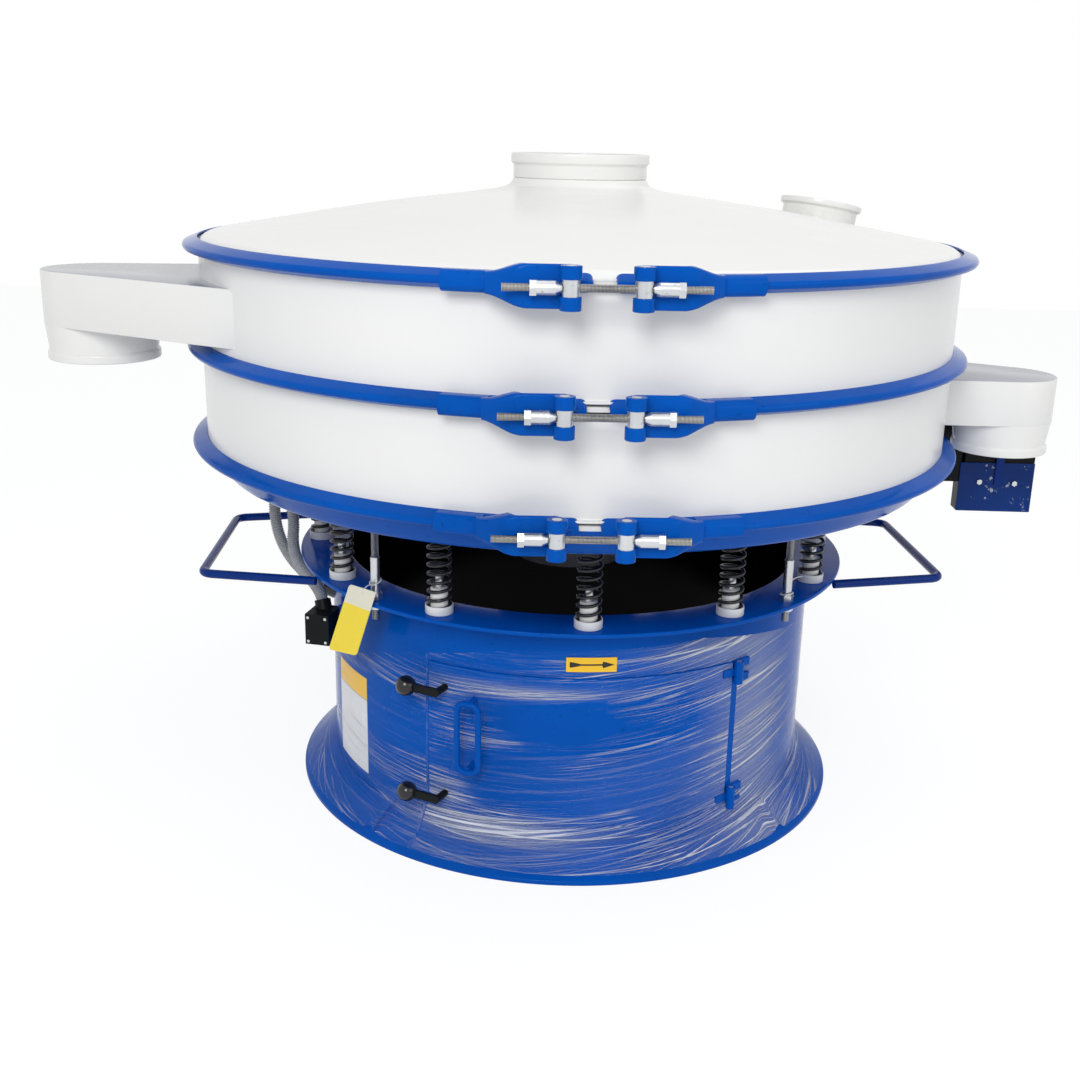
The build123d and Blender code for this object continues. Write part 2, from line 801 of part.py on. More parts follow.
def make_outlet(floor, length, azimuth, reach, outlet_radius):
    """A spout's outlet tube with a raised rim round its bottom end."""
    with BuildPart() as outlet:
        foot = Plane(origin=place(azimuth, reach, floor - length))
        extrude(disc(outlet_radius, foot), amount=length)
        extrude(disc(outlet_radius + rim_reach, foot), amount=outlet_rim_height)
        extrude(disc(outlet_radius - sheet, foot), amount=length, mode=Mode.SUBTRACT)
    return outlet


upper_plan = spout_plan(
    upper_spout_floor,
    upper_spout_azimuth,
    upper_spout_reach,
    upper_spout_end_radius,
    upper_spout_mouth_azimuths,
)
lower_plan = spout_plan(
    lower_spout_floor,
    lower_spout_azimuth,
    lower_spout_reach,
    lower_spout_end_radius,
    lower_spout_mouth_azimuths,
)
upper_window = upper_plan.moved(Location((0, 0, sheet)))
lower_window = lower_plan.moved(Location((0, 0, sheet)))
save(make_drum(joint_bottom, lower_window, lower_spout_height), "lower_drum")
save(make_drum(joint_middle, upper_window, upper_spout_height), "upper_drum")
save(
    make_spout(upper_plan, upper_spout_height, upper_spout_azimuth, upper_spout_reach, upper_outlet_radius),
    "upper_spout",
)
save(
    make_spout(lower_plan, lower_spout_height, lower_spout_azimuth, lower_spout_reach, lower_outlet_radius),
    "lower_spout",
)
save(
    make_outlet(
        upper_spout_floor, upper_outlet_length, upper_spout_azimuth, upper_spout_reach, upper_outlet_radius
    ),
    "upper_outlet",
)
save(
    make_outlet(
        lower_spout_floor, lower_outlet_length, lower_spout_azimuth, lower_spout_reach, lower_outlet_radius
    ),
    "lower_outlet",
)

# The screen lies on a ring inside the middle joint, raised to the upper spout's floor.
deck_level = upper_spout_floor - mesh_thickness
screen_outline = (
    (rim_radius - sheet, joint_middle),
    (deck_ring_inner_radius, deck_level - deck_ring_thickness),
    (deck_ring_inner_radius, deck_level),
    (drum_radius - sheet - loose_gap, deck_level),
    (drum_radius - sheet - loose_gap, joint_middle),
)
with BuildPart() as screen_frame:
    revolve(outline(screen_outline), axis=Axis.Z)
save(screen_frame, "screen_frame")

with BuildPart() as screen_mesh:
    extrude(disc(drum_radius - sheet - loose_gap, Plane.XY.offset(deck_level)), amount=mesh_thickness)
save(screen_mesh, "screen_mesh")

cone_edge_height = lower_spout_floor - sheet
cone_cap_height = cone_edge_height + cone_rise
cone_outline = (
    (drum_radius - sheet - loose_gap, cone_edge_height),
    (cone_cap_radius, cone_cap_height),
    (0, cone_cap_height),
    (0, cone_cap_height - sheet),
    (cone_cap_radius, cone_cap_height - sheet),
    (drum_radius - sheet - loose_gap, cone_edge_height - sheet),
)
with BuildPart() as discharge_cone:
    revolve(outline(cone_outline), axis=Axis.Z)
save(discharge_cone, "discharge_cone")

# The lid is a shallow cone with a flange at its edge and a rolled neck in the middle.
lid_outer = [
    (flange_radius, lid_bottom),
    (flange_radius, lid_bottom + flange_thickness),
    (drum_radius, lid_bottom + flange_thickness),
    (lid_shoulder_radius, lid_shoulder_height),
    (lid_crown_radius, lid_crown_height),
    (lid_neck_root_radius, lid_neck_root_height),
    (inlet_radius + neck_bend / 2, lid_neck_height - neck_bend),
    (inlet_radius, lid_neck_height),
]
lid_inner = [
    (inlet_radius - sheet, lid_neck_height),
    (inlet_radius - sheet + neck_bend / 2, lid_neck_height - neck_bend - sheet),
    (lid_neck_root_radius, lid_neck_root_height - sheet),
    (lid_crown_radius, lid_crown_height - sheet),
    (lid_shoulder_radius, lid_shoulder_height - sheet),
    (drum_radius - sheet, lid_bottom + flange_thickness),
    (drum_radius - sheet, lid_bottom),
]
port_slope = degrees(atan2(lid_crown_height - lid_shoulder_height, lid_shoulder_radius - lid_crown_radius))
port_rise = (lid_shoulder_radius - port_centre_radius) * sin(radians(port_slope)) / cos(radians(port_slope))
port_out = place(port_azimuth, 1)
port_axis = port_out * sin(radians(port_slope)) + Vector(0, 0, 1) * cos(radians(port_slope))
port_centre = place(port_azimuth, port_centre_radius, lid_shoulder_height + port_rise)
port_plane = Plane(origin=port_centre, z_dir=port_axis)
with BuildPart() as lid:
    revolve(outline(lid_outer + lid_inner), axis=Axis.Z)
    extrude(disc(port_radius - sheet, port_plane), amount=port_height, both=True, mode=Mode.SUBTRACT)
save(lid, "lid")

with BuildPart() as inlet_tube:
    neck_plane = Plane.XY.offset(lid_neck_height)
    extrude(disc(inlet_radius, neck_plane), amount=inlet_height)
    rim_plane = neck_plane.offset(inlet_height - inlet_rim_height)
    extrude(disc(inlet_radius + rim_reach, rim_plane), amount=inlet_rim_height)
    extrude(disc(inlet_radius - sheet, neck_plane), amount=inlet_height, mode=Mode.SUBTRACT)
save(inlet_tube, "inlet_tube")

lid_core = [(0, lid_bottom)] + lid_outer + [(0, lid_neck_height)]
with BuildPart() as side_port:
    extrude(disc(port_radius, port_plane.offset(-port_root)), amount=port_root + port_height)
    port_rim_plane = port_plane.offset(port_height - port_rim_height)
    extrude(disc(port_radius + port_rim_reach, port_rim_plane), amount=port_rim_height)
    extrude(disc(port_radius - sheet, port_plane), amount=2 * port_height, both=True, mode=Mode.SUBTRACT)
    revolve(outline(lid_core), axis=Axis.Z, mode=Mode.SUBTRACT)
save(side_port, "side_port")

# A clamp band is a V-shaped hoop over two flanges, split at the front, with a lug on each end.
band_split = degrees(asin(band_gap / 2 / band_radius))
lug_face = clamp_axis_radius - nut_corner_radius - gasket_margin
clamp_levels = (joint_bottom, joint_middle, joint_top)
clamp_names = ("bottom", "middle", "top")


def chord_depth(radius, across):
    """How far out a circle stands at a distance across from its middle line."""
    return sqrt(radius**2 - across**2)


def band_outline(level):
    """The hoop's section: three sloping faces outside and a hollow that grips the flanges."""
    return (
        (band_lip_radius, level + band_lip_height),
        (band_radius - band_nose_depth, level + band_nose),
        (band_radius, level),
        (band_radius - band_nose_depth, level - band_nose),
        (band_foot_radius, level - band_foot_height),
        (band_foot_radius, level - band_foot_height + band_sheet),
        (band_inner_radius, level - band_inner_nose),
        (band_inner_radius, level + band_inner_nose),
        (band_lip_radius, level + band_lip_height - band_sheet),
    )


def sleeve_outline(level):
    """The thicker, tube-like section of the hoop next to each lug."""
    root = band_foot_radius + sleeve_corner
    return (
        (root, level - sleeve_half_height),
        (band_radius + sleeve_depth - sleeve_corner, level - sleeve_half_height),
        (band_radius + sleeve_depth, level - sleeve_half_height + sleeve_corner),
        (band_radius + sleeve_depth, level + sleeve_half_height - sleeve_corner),
        (band_radius + sleeve_depth - sleeve_corner, level + sleeve_half_height),
        (root, level + sleeve_half_height),
        (band_inner_radius + weld_step / 2, level),
    )


for name, level, azimuth in zip(clamp_names, clamp_levels, clamp_azimuths):
    plan = Plane(origin=(0, 0, level), x_dir=rightward(azimuth), z_dir=(0, 0, 1))
    sleeve_first = degrees(asin(sleeve_start / band_radius))
    sleeve_arc = degrees(asin(sleeve_end / band_radius)) - sleeve_first
    with BuildPart() as clamp_band:
        revolve(
            outline(band_outline(level), radial_plane(azimuth + band_split)),
            axis=Axis.Z,
            revolution_arc=4 * quarter_turn - 2 * band_split,
        )
        for start in (sleeve_first, -sleeve_first - sleeve_arc):
            sleeve_plane = radial_plane(azimuth + start)
            revolve(outline(sleeve_outline(level), sleeve_plane), axis=Axis.Z, revolution_arc=sleeve_arc)
        for side in (-1, 1):
            along = rightward(azimuth) * side
            root_depth = (lug_face + chord_depth(band_radius, lug_end)) / 2
            tip_depth = chord_depth(band_radius, sleeve_start)
            flare_root = plan.from_local_coords((side * lug_end, -root_depth, 0))
            flare_tip = plan.from_local_coords((side * (sleeve_start + weld_step), -tip_depth, 0))
            root_plane = Plane(origin=flare_root, x_dir=outward(azimuth), z_dir=along)
            tip_plane = Plane(origin=flare_tip, x_dir=outward(azimuth), z_dir=along)
            with BuildSketch(root_plane):
                Rectangle(lug_face - chord_depth(band_radius, lug_end) + band_nose_depth, 2 * lug_half_height)
            with BuildSketch(tip_plane):
                Rectangle(2 * sleeve_depth, 2 * sleeve_half_height)
            loft()
            lug_middle = side * (lug_start + lug_end) / 2
            with BuildSketch(plan):
                with Locations((lug_middle, -lug_face + lug_thickness / 2)):
                    Rectangle(lug_end - lug_start, lug_thickness)
            extrude(amount=lug_half_height, both=True)
            with BuildSketch(plan):
                with Locations((lug_middle, -(lug_face + band_inner_radius) / 2)):
                    Rectangle(lug_end - lug_start, lug_face - band_inner_radius)
            extrude(amount=band_inner_nose, both=True)
            with BuildSketch(plan):
                with Locations((side * lug_start, -clamp_axis_radius)):
                    Circle(collar_radius)
            extrude(amount=lug_half_height, both=True)
            with BuildSketch(plan):
                with Locations((side * lug_start, -clamp_axis_radius)):
                    Circle(collar_radius + running_gap)
            extrude(amount=trunnion_half_height, both=True, mode=Mode.SUBTRACT)
            with BuildSketch(plan):
                with Locations((side * lug_start, -clamp_axis_radius)):
                    Circle(trunnion_pin_radius + running_gap / 2)
            extrude(amount=lug_half_height, both=True, mode=Mode.SUBTRACT)
    save(clamp_band, "clamp_band_" + name)

    rod_middle = plan.from_local_coords((0, -clamp_axis_radius, 0))
    rod_start = Plane(origin=rod_middle - rightward(azimuth) * rod_half_length, z_dir=rightward(azimuth))
    with BuildPart() as trunnions:
        for side in (-1, 1):
            with BuildSketch(plan):
                with Locations((side * lug_start, -clamp_axis_radius)):
                    Circle(trunnion_radius)
            extrude(amount=trunnion_half_height - running_gap, both=True)
            with BuildSketch(plan):
                with Locations((side * lug_start, -clamp_axis_radius)):
                    Circle(trunnion_pin_radius)
            extrude(amount=lug_half_height, both=True)
        extrude(disc(rod_radius + running_gap / 2, rod_start), amount=2 * rod_half_length, mode=Mode.SUBTRACT)
    save(trunnions, "clamp_trunnions_" + name)

    with BuildPart() as clamp_rod:
        extrude(disc(rod_radius, rod_start), amount=2 * rod_half_length)
    save(clamp_rod, "clamp_rod_" + name)

    with BuildPart() as clamp_nuts:
        for side in (-1, 1):
            nut_start = rod_middle + rightward(azimuth) * side * (lug_start + trunnion_radius + loose_gap)
            tip = Plane(origin=nut_start, z_dir=rightward(azimuth) * side)
            body = tip.offset(nut_tip_length)
            with BuildSketch(tip):
                Circle(nut_tip_radius)
            with BuildSketch(body):
                Circle(nut_body_radius)
            loft()
            extrude(disc(nut_body_radius, body), amount=nut_body_length)
            with BuildSketch(body.offset(nut_body_length)):
                RegularPolygon(nut_corner_radius, 6)
            extrude(amount=nut_hex_length)
        extrude(disc(rod_radius, rod_start), amount=2 * rod_half_length, mode=Mode.SUBTRACT)
    save(clamp_nuts, "clamp_nuts_" + name)

# The box behind the lower outlet hangs by a plate from the spout's floor.
box_middle = box_left + box_width / 2
box_face = Plane(origin=(box_middle, box_front, (box_bottom + box_top) / 2), x_dir=(1, 0, 0), z_dir=(0, -1, 0))
cover_face = Plane(origin=(box_middle, box_front, box_bottom + box_cover_height / 2), z_dir=(0, -1, 0))
with BuildPart() as control_box:
    with BuildSketch(box_face.offset(-box_depth)):
        Rectangle(box_width, box_height)
    extrude(amount=box_depth)
    hanger_middle = (hanger_left + hanger_width / 2, box_front, (hanger_bottom + lower_spout_floor) / 2)
    with BuildSketch(Plane(origin=hanger_middle, x_dir=(1, 0, 0), z_dir=(0, -1, 0))):
        Rectangle(hanger_width, lower_spout_floor - hanger_bottom)
    extrude(amount=-hanger_thickness)
save(control_box, "control_box")

with BuildPart() as control_box_cover:
    with BuildSketch(cover_face):
        Rectangle(box_width, box_cover_height)
    extrude(amount=box_cover_thickness)
save(control_box_cover, "control_box_cover")

with BuildPart() as control_box_screws:
    with BuildSketch(cover_face.offset(box_cover_thickness)):
        with GridLocations(2 * box_screw_share * box_width, 0, 2, 1):
            Circle(box_screw_radius)
    extrude(amount=box_screw_head)
save(control_box_screws, "control_box_screws")

with BuildPart() as control_box_strap:
    with BuildSketch(cover_face.offset(box_cover_thickness)):
        with Locations((0, box_cover_height / 2 + strap_rise - strap_length / 2)):
            Rectangle(strap_width, strap_length)
    extrude(amount=strap_thickness)
save(control_box_strap, "control_box_strap")

# The motor hangs in the dish's hole: a finned housing, two end caps, bearings, a shaft and two weights.
with BuildPart() as motor_housing:
    extrude(disc(motor_radius, Plane.XY.offset(motor_bottom)), amount=motor_top - motor_bottom)
    flange_plane = Plane.XY.offset(seat_plane - motor_flange_thickness)
    with BuildSketch(Plane.XY.offset(motor_bottom)):
        with PolarLocations(motor_radius + motor_fin_reach / 2, motor_fin_count):
            Rectangle(motor_fin_reach + motor_fin_thickness, motor_fin_thickness)
    extrude(amount=motor_top - motor_bottom)
    extrude(disc(motor_flange_radius, flange_plane), amount=motor_flange_thickness)
    bore_plane = Plane.XY.offset(motor_bottom)
    extrude(disc(motor_bore_radius, bore_plane), amount=motor_top - motor_bottom, mode=Mode.SUBTRACT)
save(motor_housing, "motor_housing")

cap_levels = (motor_bottom - motor_cap_thickness, motor_top)
with BuildPart() as motor_caps:
    for level in cap_levels:
        cap_plane = Plane.XY.offset(level)
        extrude(disc(motor_radius, cap_plane, bearing_radius), amount=motor_cap_thickness)
save(motor_caps, "motor_caps")

with BuildPart() as motor_bearings:
    for level in cap_levels:
        bearing_plane = Plane.XY.offset(level)
        extrude(disc(bearing_radius, bearing_plane, shaft_radius + running_gap / 2), amount=motor_cap_thickness)
save(motor_bearings, "motor_bearings")

with BuildPart() as motor_bolts:
    with BuildSketch(Plane.XY.offset(seat_plane - motor_flange_thickness - motor_bolt_radius)):
        with PolarLocations((motor_hole_radius + motor_flange_radius) / 2, motor_bolt_count):
            RegularPolygon(motor_bolt_radius, 6)
    extrude(amount=motor_bolt_radius)
save(motor_bolts, "motor_bolts")

shaft_bottom = motor_bottom - shaft_tail
with BuildPart() as motor_shaft:
    extrude(disc(shaft_radius, Plane.XY.offset(shaft_bottom)), amount=motor_top - motor_bottom + 2 * shaft_tail)
save(motor_shaft, "motor_shaft")

lower_weight_level = motor_bottom - motor_cap_thickness - weight_offset - weight_thickness
upper_weight_level = motor_top + motor_cap_thickness + weight_offset
for label, level in (("upper_weight", upper_weight_level), ("lower_weight", lower_weight_level)):
    with BuildPart() as weight:
        with BuildSketch(Plane.XY.offset(level)):
            Circle(weight_radius)
            with Locations((0, weight_radius / 2)):
                Rectangle(2 * weight_radius, weight_radius, mode=Mode.SUBTRACT)
            Circle(weight_hub_radius)
            Circle(shaft_radius + running_gap / 2, mode=Mode.SUBTRACT)
        extrude(amount=weight_thickness)
    save(weight, label)
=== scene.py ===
# %% [markdown]
# # A round vibrating sieve
# Powder falls through the neck in the lid onto a screen that a motor with unequal weights shakes.
# Coarse grains leave by the upper spout on the left, and sifted powder by the lower one on the right.
# The measured solids come in first as a fixed frame. Each cell then swaps a plain solid for a surface
# with rolled edges, or gives a solid that is already right its finish.

# %% The frame and the units
import json
from math import asin, atan2, cos, degrees, pi, radians, sin
import bmesh
import bpy
import numpy as np
from mathutils import Matrix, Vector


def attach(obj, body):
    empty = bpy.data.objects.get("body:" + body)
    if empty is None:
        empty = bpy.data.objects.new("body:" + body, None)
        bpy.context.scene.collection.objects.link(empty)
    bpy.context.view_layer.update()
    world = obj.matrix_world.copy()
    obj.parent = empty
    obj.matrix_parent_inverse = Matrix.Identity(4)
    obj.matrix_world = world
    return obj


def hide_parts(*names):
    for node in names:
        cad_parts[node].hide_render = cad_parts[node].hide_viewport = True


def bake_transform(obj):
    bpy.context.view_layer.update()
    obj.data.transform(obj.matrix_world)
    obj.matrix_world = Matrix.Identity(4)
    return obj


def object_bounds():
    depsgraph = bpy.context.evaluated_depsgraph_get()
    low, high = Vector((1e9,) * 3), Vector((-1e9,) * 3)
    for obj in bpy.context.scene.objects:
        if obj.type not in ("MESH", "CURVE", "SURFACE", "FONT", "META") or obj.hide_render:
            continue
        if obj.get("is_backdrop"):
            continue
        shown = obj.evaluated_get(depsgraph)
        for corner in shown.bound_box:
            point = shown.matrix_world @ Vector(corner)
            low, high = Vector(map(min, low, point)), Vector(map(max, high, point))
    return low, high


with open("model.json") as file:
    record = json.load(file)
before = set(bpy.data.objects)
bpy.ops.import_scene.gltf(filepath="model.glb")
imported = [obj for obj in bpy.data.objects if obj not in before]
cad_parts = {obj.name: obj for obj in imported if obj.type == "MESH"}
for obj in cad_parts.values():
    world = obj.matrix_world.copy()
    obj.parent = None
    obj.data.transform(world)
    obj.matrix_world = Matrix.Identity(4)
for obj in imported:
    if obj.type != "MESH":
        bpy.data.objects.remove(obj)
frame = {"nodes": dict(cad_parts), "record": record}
cad_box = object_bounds()
MM = 0.001
machine_turn = 4

# %% [markdown]
# ## The camera
# The lens was found from the photograph: the three hoops are circles of one known size, so the
# ellipses that they make give the height, the distance and the tilt of the camera.

# %% The camera
# The focal length and the picture's width are in pixels of the photograph's frame.
focal_length, picture_width = 1307.8, 1080
eye = np.array([0, -2778.7, 1357.6]) * MM
pitch, yaw, roll = radians(17.069), radians(-1.36), radians(1.217)
ahead = np.array([sin(yaw) * cos(pitch), cos(yaw) * cos(pitch), -sin(pitch)])
level_right = np.array([cos(yaw), -sin(yaw), 0])
down = np.cross(ahead, level_right)
picture_right = cos(roll) * level_right - sin(roll) * down
picture_down = sin(roll) * level_right + cos(roll) * down
camera_matrix = np.eye(4)
camera_matrix[:3, :3] = np.column_stack([picture_right, -picture_down, -ahead])
camera_matrix[:3, 3] = eye
camera_data = bpy.data.cameras.new("camera")
camera_data.sensor_width = 36
camera_data.lens = focal_length / picture_width * camera_data.sensor_width
camera = bpy.data.objects.new("camera", camera_data)
bpy.context.scene.collection.objects.link(camera)
camera.matrix_world = Matrix(camera_matrix.tolist())
bpy.context.scene.camera = camera
bpy.context.scene.view_settings.view_transform = "Standard"
print("camera lens", round(camera_data.lens, 2), "mm, tilt", round(degrees(pitch), 1), "degrees down")

# %% [markdown]
# ## Shapes from arrays
# Nearly every piece of this machine is turned, rolled or bent from sheet. So a piece is a profile
# carried round the axis or along a path, worked out for all its points at once.

# %% Rounded outlines and turned shapes
def rounded(corners, radius, steps=4):
    """Each corner becomes a short curve: a weighted mean of the corner and a point on each side of it."""
    corner = np.asarray(corners, float)
    arriving = corner - np.roll(corner, 1, 0)
    leaving = np.roll(corner, -1, 0) - corner
    length_in = np.linalg.norm(arriving, axis=1)[:, None]
    length_out = np.linalg.norm(leaving, axis=1)[:, None]
    cut = np.minimum(np.reshape(radius, (-1, 1)), 0.45 * np.minimum(length_in, length_out))
    start = (corner - arriving / length_in * cut)[:, None]
    end = (corner + leaving / length_out * cut)[:, None]
    share = np.linspace(0, 1, steps)[None, :, None]
    curve = (1 - share) ** 2 * start + 2 * share * (1 - share) * corner[:, None] + share**2 * end
    return curve.reshape(-1, corner.shape[1])


straight_up = np.array([0, 0, 1])
upright = ((1, 0, 0), (0, 1, 0), (0, 0, 1))


def outward(azimuth):
    """The level direction at an azimuth in degrees, counted from the operator's side to the right."""
    return np.array([sin(radians(azimuth)), -cos(radians(azimuth)), 0])


def around_axis(radius, height, angles):
    """Points round the axis: x is the radius times the angle's sine, y minus its cosine, z the height."""
    level = radius * np.sin(angles), -radius * np.cos(angles)
    return np.stack(np.broadcast_arrays(*level, height + 0 * angles), -1)


def turned(profile, first=0, last=360, steps=192):
    """A profile of (radius, height) in mm, repeated at evenly spaced azimuths in degrees."""
    full = last - first == 360
    angles = np.radians(np.linspace(first, last, steps, endpoint=not full))[:, None]
    return around_axis(*np.asarray(profile, float).T, angles)


def skin(grid, round_u=True, round_v=True, keep=None):
    """The points of a grid and the four corners of each of its cells, less the cells not kept."""
    rows, columns = grid.shape[:2]
    row = np.arange(rows if round_u else rows - 1)[:, None]
    column = np.arange(columns if round_v else columns - 1)[None]
    next_row, next_column = (row + 1) % rows, (column + 1) % columns
    corners = [row * columns + column, next_row * columns + column]
    corners += [next_row * columns + next_column, row * columns + next_column]
    cells = np.stack(np.broadcast_arrays(*corners), -1)
    cells = cells.reshape(-1, 4) if keep is None else cells[keep]
    return grid.reshape(-1, 3), [cells]


def capped(grid):
    """A tube of closed sections with a flat face on each end."""
    points, faces = skin(grid, round_u=False)
    ends = np.arange(grid.shape[1])
    return points, faces + [ends[None], (ends[::-1] + len(points) - len(ends))[None]]


def moved(shell, origin, x, y, z):
    """A shell drawn about its own axes, set down at a point with those axes along x, y and z."""
    points, faces = shell
    return points @ np.array([x, y, z], float) + np.asarray(origin, float), faces


def block(size, centre=(0, 0, 0)):
    """A box as a tube of two square sections."""
    half = np.array(size) / 2
    square = np.array([(-1, -1), (1, -1), (1, 1), (-1, 1)])
    ends = [np.column_stack([square * half[:2], np.full(4, end * half[2])]) for end in (-1, 1)]
    return capped(np.array(ends) + np.array(centre))


# %% Tubes along a path
def frames_along(path):
    """Unit vectors across a path: its steps, a sideways one and an upright one made square to it."""
    step = np.gradient(path, axis=0)
    step /= np.linalg.norm(step, axis=1)[:, None]
    side = np.cross(step, np.array([0.03, 0.02, 1]))
    side /= np.linalg.norm(side, axis=1)[:, None]
    return side, np.cross(side, step)


def tube(path, radius, sides=16):
    """A round tube: at each point of the path a circle of that radius across it."""
    side, up = frames_along(path)
    angle = np.linspace(0, 2 * pi, sides, endpoint=False)[None, :, None]
    radius = np.reshape(radius, (-1, 1, 1))
    across = np.cos(angle) * side[:, None] + np.sin(angle) * up[:, None]
    return capped(path[:, None] + radius * across)


def bent(corners, radius, steps=10):
    """An open path with its inner corners rounded and its ends kept."""
    corners = np.asarray(corners, float)
    curve = rounded(corners, radius, steps)
    return np.concatenate([corners[:1], curve[steps:-steps], corners[-1:]])


# %% Pieces
def make_piece(name, shells, material, body=None, instead=(), bevel=0, wall=0):
    """Joins shells given in mm into one mesh in metres, and gives it a finish, a body and soft edges."""
    points, faces, count = [], [], 0
    for shell_points, shell_faces in shells:
        points.append(shell_points)
        for block_of_faces in shell_faces:
            faces += (block_of_faces + count).tolist()
        count += len(shell_points)
    mesh = bpy.data.meshes.new(name)
    mesh.from_pydata((np.concatenate(points) * MM).tolist(), [], faces)
    work = bmesh.new()
    work.from_mesh(mesh)
    bmesh.ops.remove_doubles(work, verts=work.verts, dist=1e-6)
    bmesh.ops.recalc_face_normals(work, faces=work.faces)
    work.to_mesh(mesh)
    work.free()
    mesh.shade_smooth()
    mesh.set_sharp_from_angle(angle=radians(38))
    piece = bpy.data.objects.new(name, mesh)
    bpy.context.scene.collection.objects.link(piece)
    mesh.materials.append(material)
    if wall:
        solidify = piece.modifiers.new("wall", "SOLIDIFY")
        solidify.thickness = wall * MM
        solidify.offset = -1
        solidify.use_even_offset = True
    if bevel:
        edge = piece.modifiers.new("soft edges", "BEVEL")
        edge.width = bevel * MM
        edge.segments = 3
        edge.limit_method = "ANGLE"
        edge.angle_limit = radians(40)
        edge.harden_normals = True
    if body:
        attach(piece, body)
    if instead:
        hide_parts(*instead)
    print(f"{name}: {len(mesh.polygons)} faces")
    return piece


# %% [markdown]
# ## Finishes
# The real machine has few finishes: thick spray paint in two colours, zinc, black spring steel,
# moulded plastic. What makes them look real is small: the orange peel in the paint, dust, rubbed
# spots, and rod that is threaded. Each effect is built once as a node group and used many times.

# %% Node helpers
def add_node(tree, kind, inputs=None, **settings):
    """A node with its settings and its inputs, where an input is a value or another node's socket."""
    node = tree.nodes.new("ShaderNode" + kind)
    for key, value in settings.items():
        setattr(node, key, value)
    for key, value in (inputs or {}).items():
        if isinstance(value, bpy.types.NodeSocket):
            tree.links.new(value, node.inputs[key])
        else:
            node.inputs[key].default_value = value
    return node


def calculate(tree, operation, *values, **settings):
    """The result of a Math node, worked out from one to three numbers or sockets."""
    return add_node(tree, "Math", dict(enumerate(values)), operation=operation, **settings).outputs[0]


def remap(tree, value, low, high, first=0, last=1):
    """A value stretched so that low becomes the first number and high the last, and kept between them."""
    ends = {"From Min": low, "From Max": high, "To Min": first, "To Max": last}
    return add_node(tree, "MapRange", {"Value": value, **ends}).outputs[0]


def noise(tree, place, scale, detail, **more):
    """A cloudy random value: smooth noise of a scale, plus half as much of twice the scale, and so on."""
    inputs = {"Vector": place, "Scale": scale, "Detail": detail, **more}
    return add_node(tree, "TexNoise", inputs).outputs[0]


def bump(tree, height, strength, distance, under=None):
    """Normals tilted by the slope of a height, on top of the normals of another bump."""
    inputs = {"Strength": strength, "Distance": distance, "Height": height}
    return add_node(tree, "Bump", inputs if under is None else inputs | {"Normal": under}).outputs[0]

# %% A group for a shared effect
def effect(name, inputs, outputs):
    """An empty node group with named number inputs, and colour, number or normal outputs."""
    tree = bpy.data.node_groups.new(name, "ShaderNodeTree")
    kinds = {"Colour": "NodeSocketColor", "Normal": "NodeSocketVector"}
    labels = [(label, "INPUT") for label in inputs] + [(label, "OUTPUT") for label in outputs]
    for label, way in labels:
        kind = kinds.get(label, "NodeSocketFloat")
        socket = tree.interface.new_socket(label, in_out=way, socket_type=kind)
        if way == "INPUT":
            socket.default_value = inputs[label]
    return tree, tree.nodes.new("NodeGroupInput"), tree.nodes.new("NodeGroupOutput")


def object_place(tree):
    """The point on the surface in the object's own metres."""
    return add_node(tree, "TexCoord").outputs["Object"]

# %% The paint's skin
# Fine orange peel and long, shallow waves in the sheet under it.
paint_skin, given, result = effect("paint skin", {"Peel": 0.1, "Waves": 0.2}, ["Normal"])
peel = noise(paint_skin, object_place(paint_skin), 420, 2)
waves = noise(paint_skin, object_place(paint_skin), 7, 2)
sheet_waves = bump(paint_skin, waves, given.outputs["Waves"], 0.004)
orange_peel = bump(paint_skin, peel, given.outputs["Peel"], 0.0004, sheet_waves)
paint_skin.links.new(orange_peel, result.inputs["Normal"])

# %% Uneven colour
# A broad cloudy tone and small specks of dirt, which dull the gloss too.
uneven_inputs = {"Colour": (1, 1, 1, 1), "Cloud": 0.06, "Specks": 0.15, "Gloss": 0.2}
uneven, given, result = effect("uneven colour", uneven_inputs, ["Colour", "Roughness"])
cloud = noise(uneven, object_place(uneven), 3.5, 6, Roughness=0.6)
speck = noise(uneven, object_place(uneven), 95, 3)
tone = remap(uneven, cloud, 0.3, 0.7, -1, 1)
clouded = calculate(uneven, "MULTIPLY_ADD", tone, given.outputs["Cloud"], 1)
dirt = calculate(uneven, "MULTIPLY", remap(uneven, speck, 0.64, 0.74), given.outputs["Specks"])
clean = calculate(uneven, "SUBTRACT", 1, dirt)
amount = calculate(uneven, "MULTIPLY", clouded, clean)
scaled_colour = {0: given.outputs["Colour"], "Scale": amount}
tinted = add_node(uneven, "VectorMath", scaled_colour, operation="SCALE").outputs[0]
gloss = calculate(uneven, "MULTIPLY_ADD", dirt, 0.6, given.outputs["Gloss"])
cloudy_gloss = calculate(uneven, "MULTIPLY_ADD", tone, 0.04, gloss)
uneven.links.new(tinted, result.inputs["Colour"])
uneven.links.new(cloudy_gloss, result.inputs["Roughness"])

# %% Chips
# Ragged spots where a rough noise stands above a level that the amount lowers.
chips, given, result = effect("chips", {"Amount": 0.5, "Size": 30}, ["Mask"])
chip_noise = noise(chips, object_place(chips), given.outputs["Size"], 8, Roughness=0.7)
chip_edge = calculate(chips, "SUBTRACT", 0.78, given.outputs["Amount"])
chip_end = calculate(chips, "ADD", chip_edge, 0.03)
chips.links.new(remap(chips, chip_noise, chip_edge, chip_end), result.inputs["Mask"])
print("shared effects:", [tree.name for tree in bpy.data.node_groups])

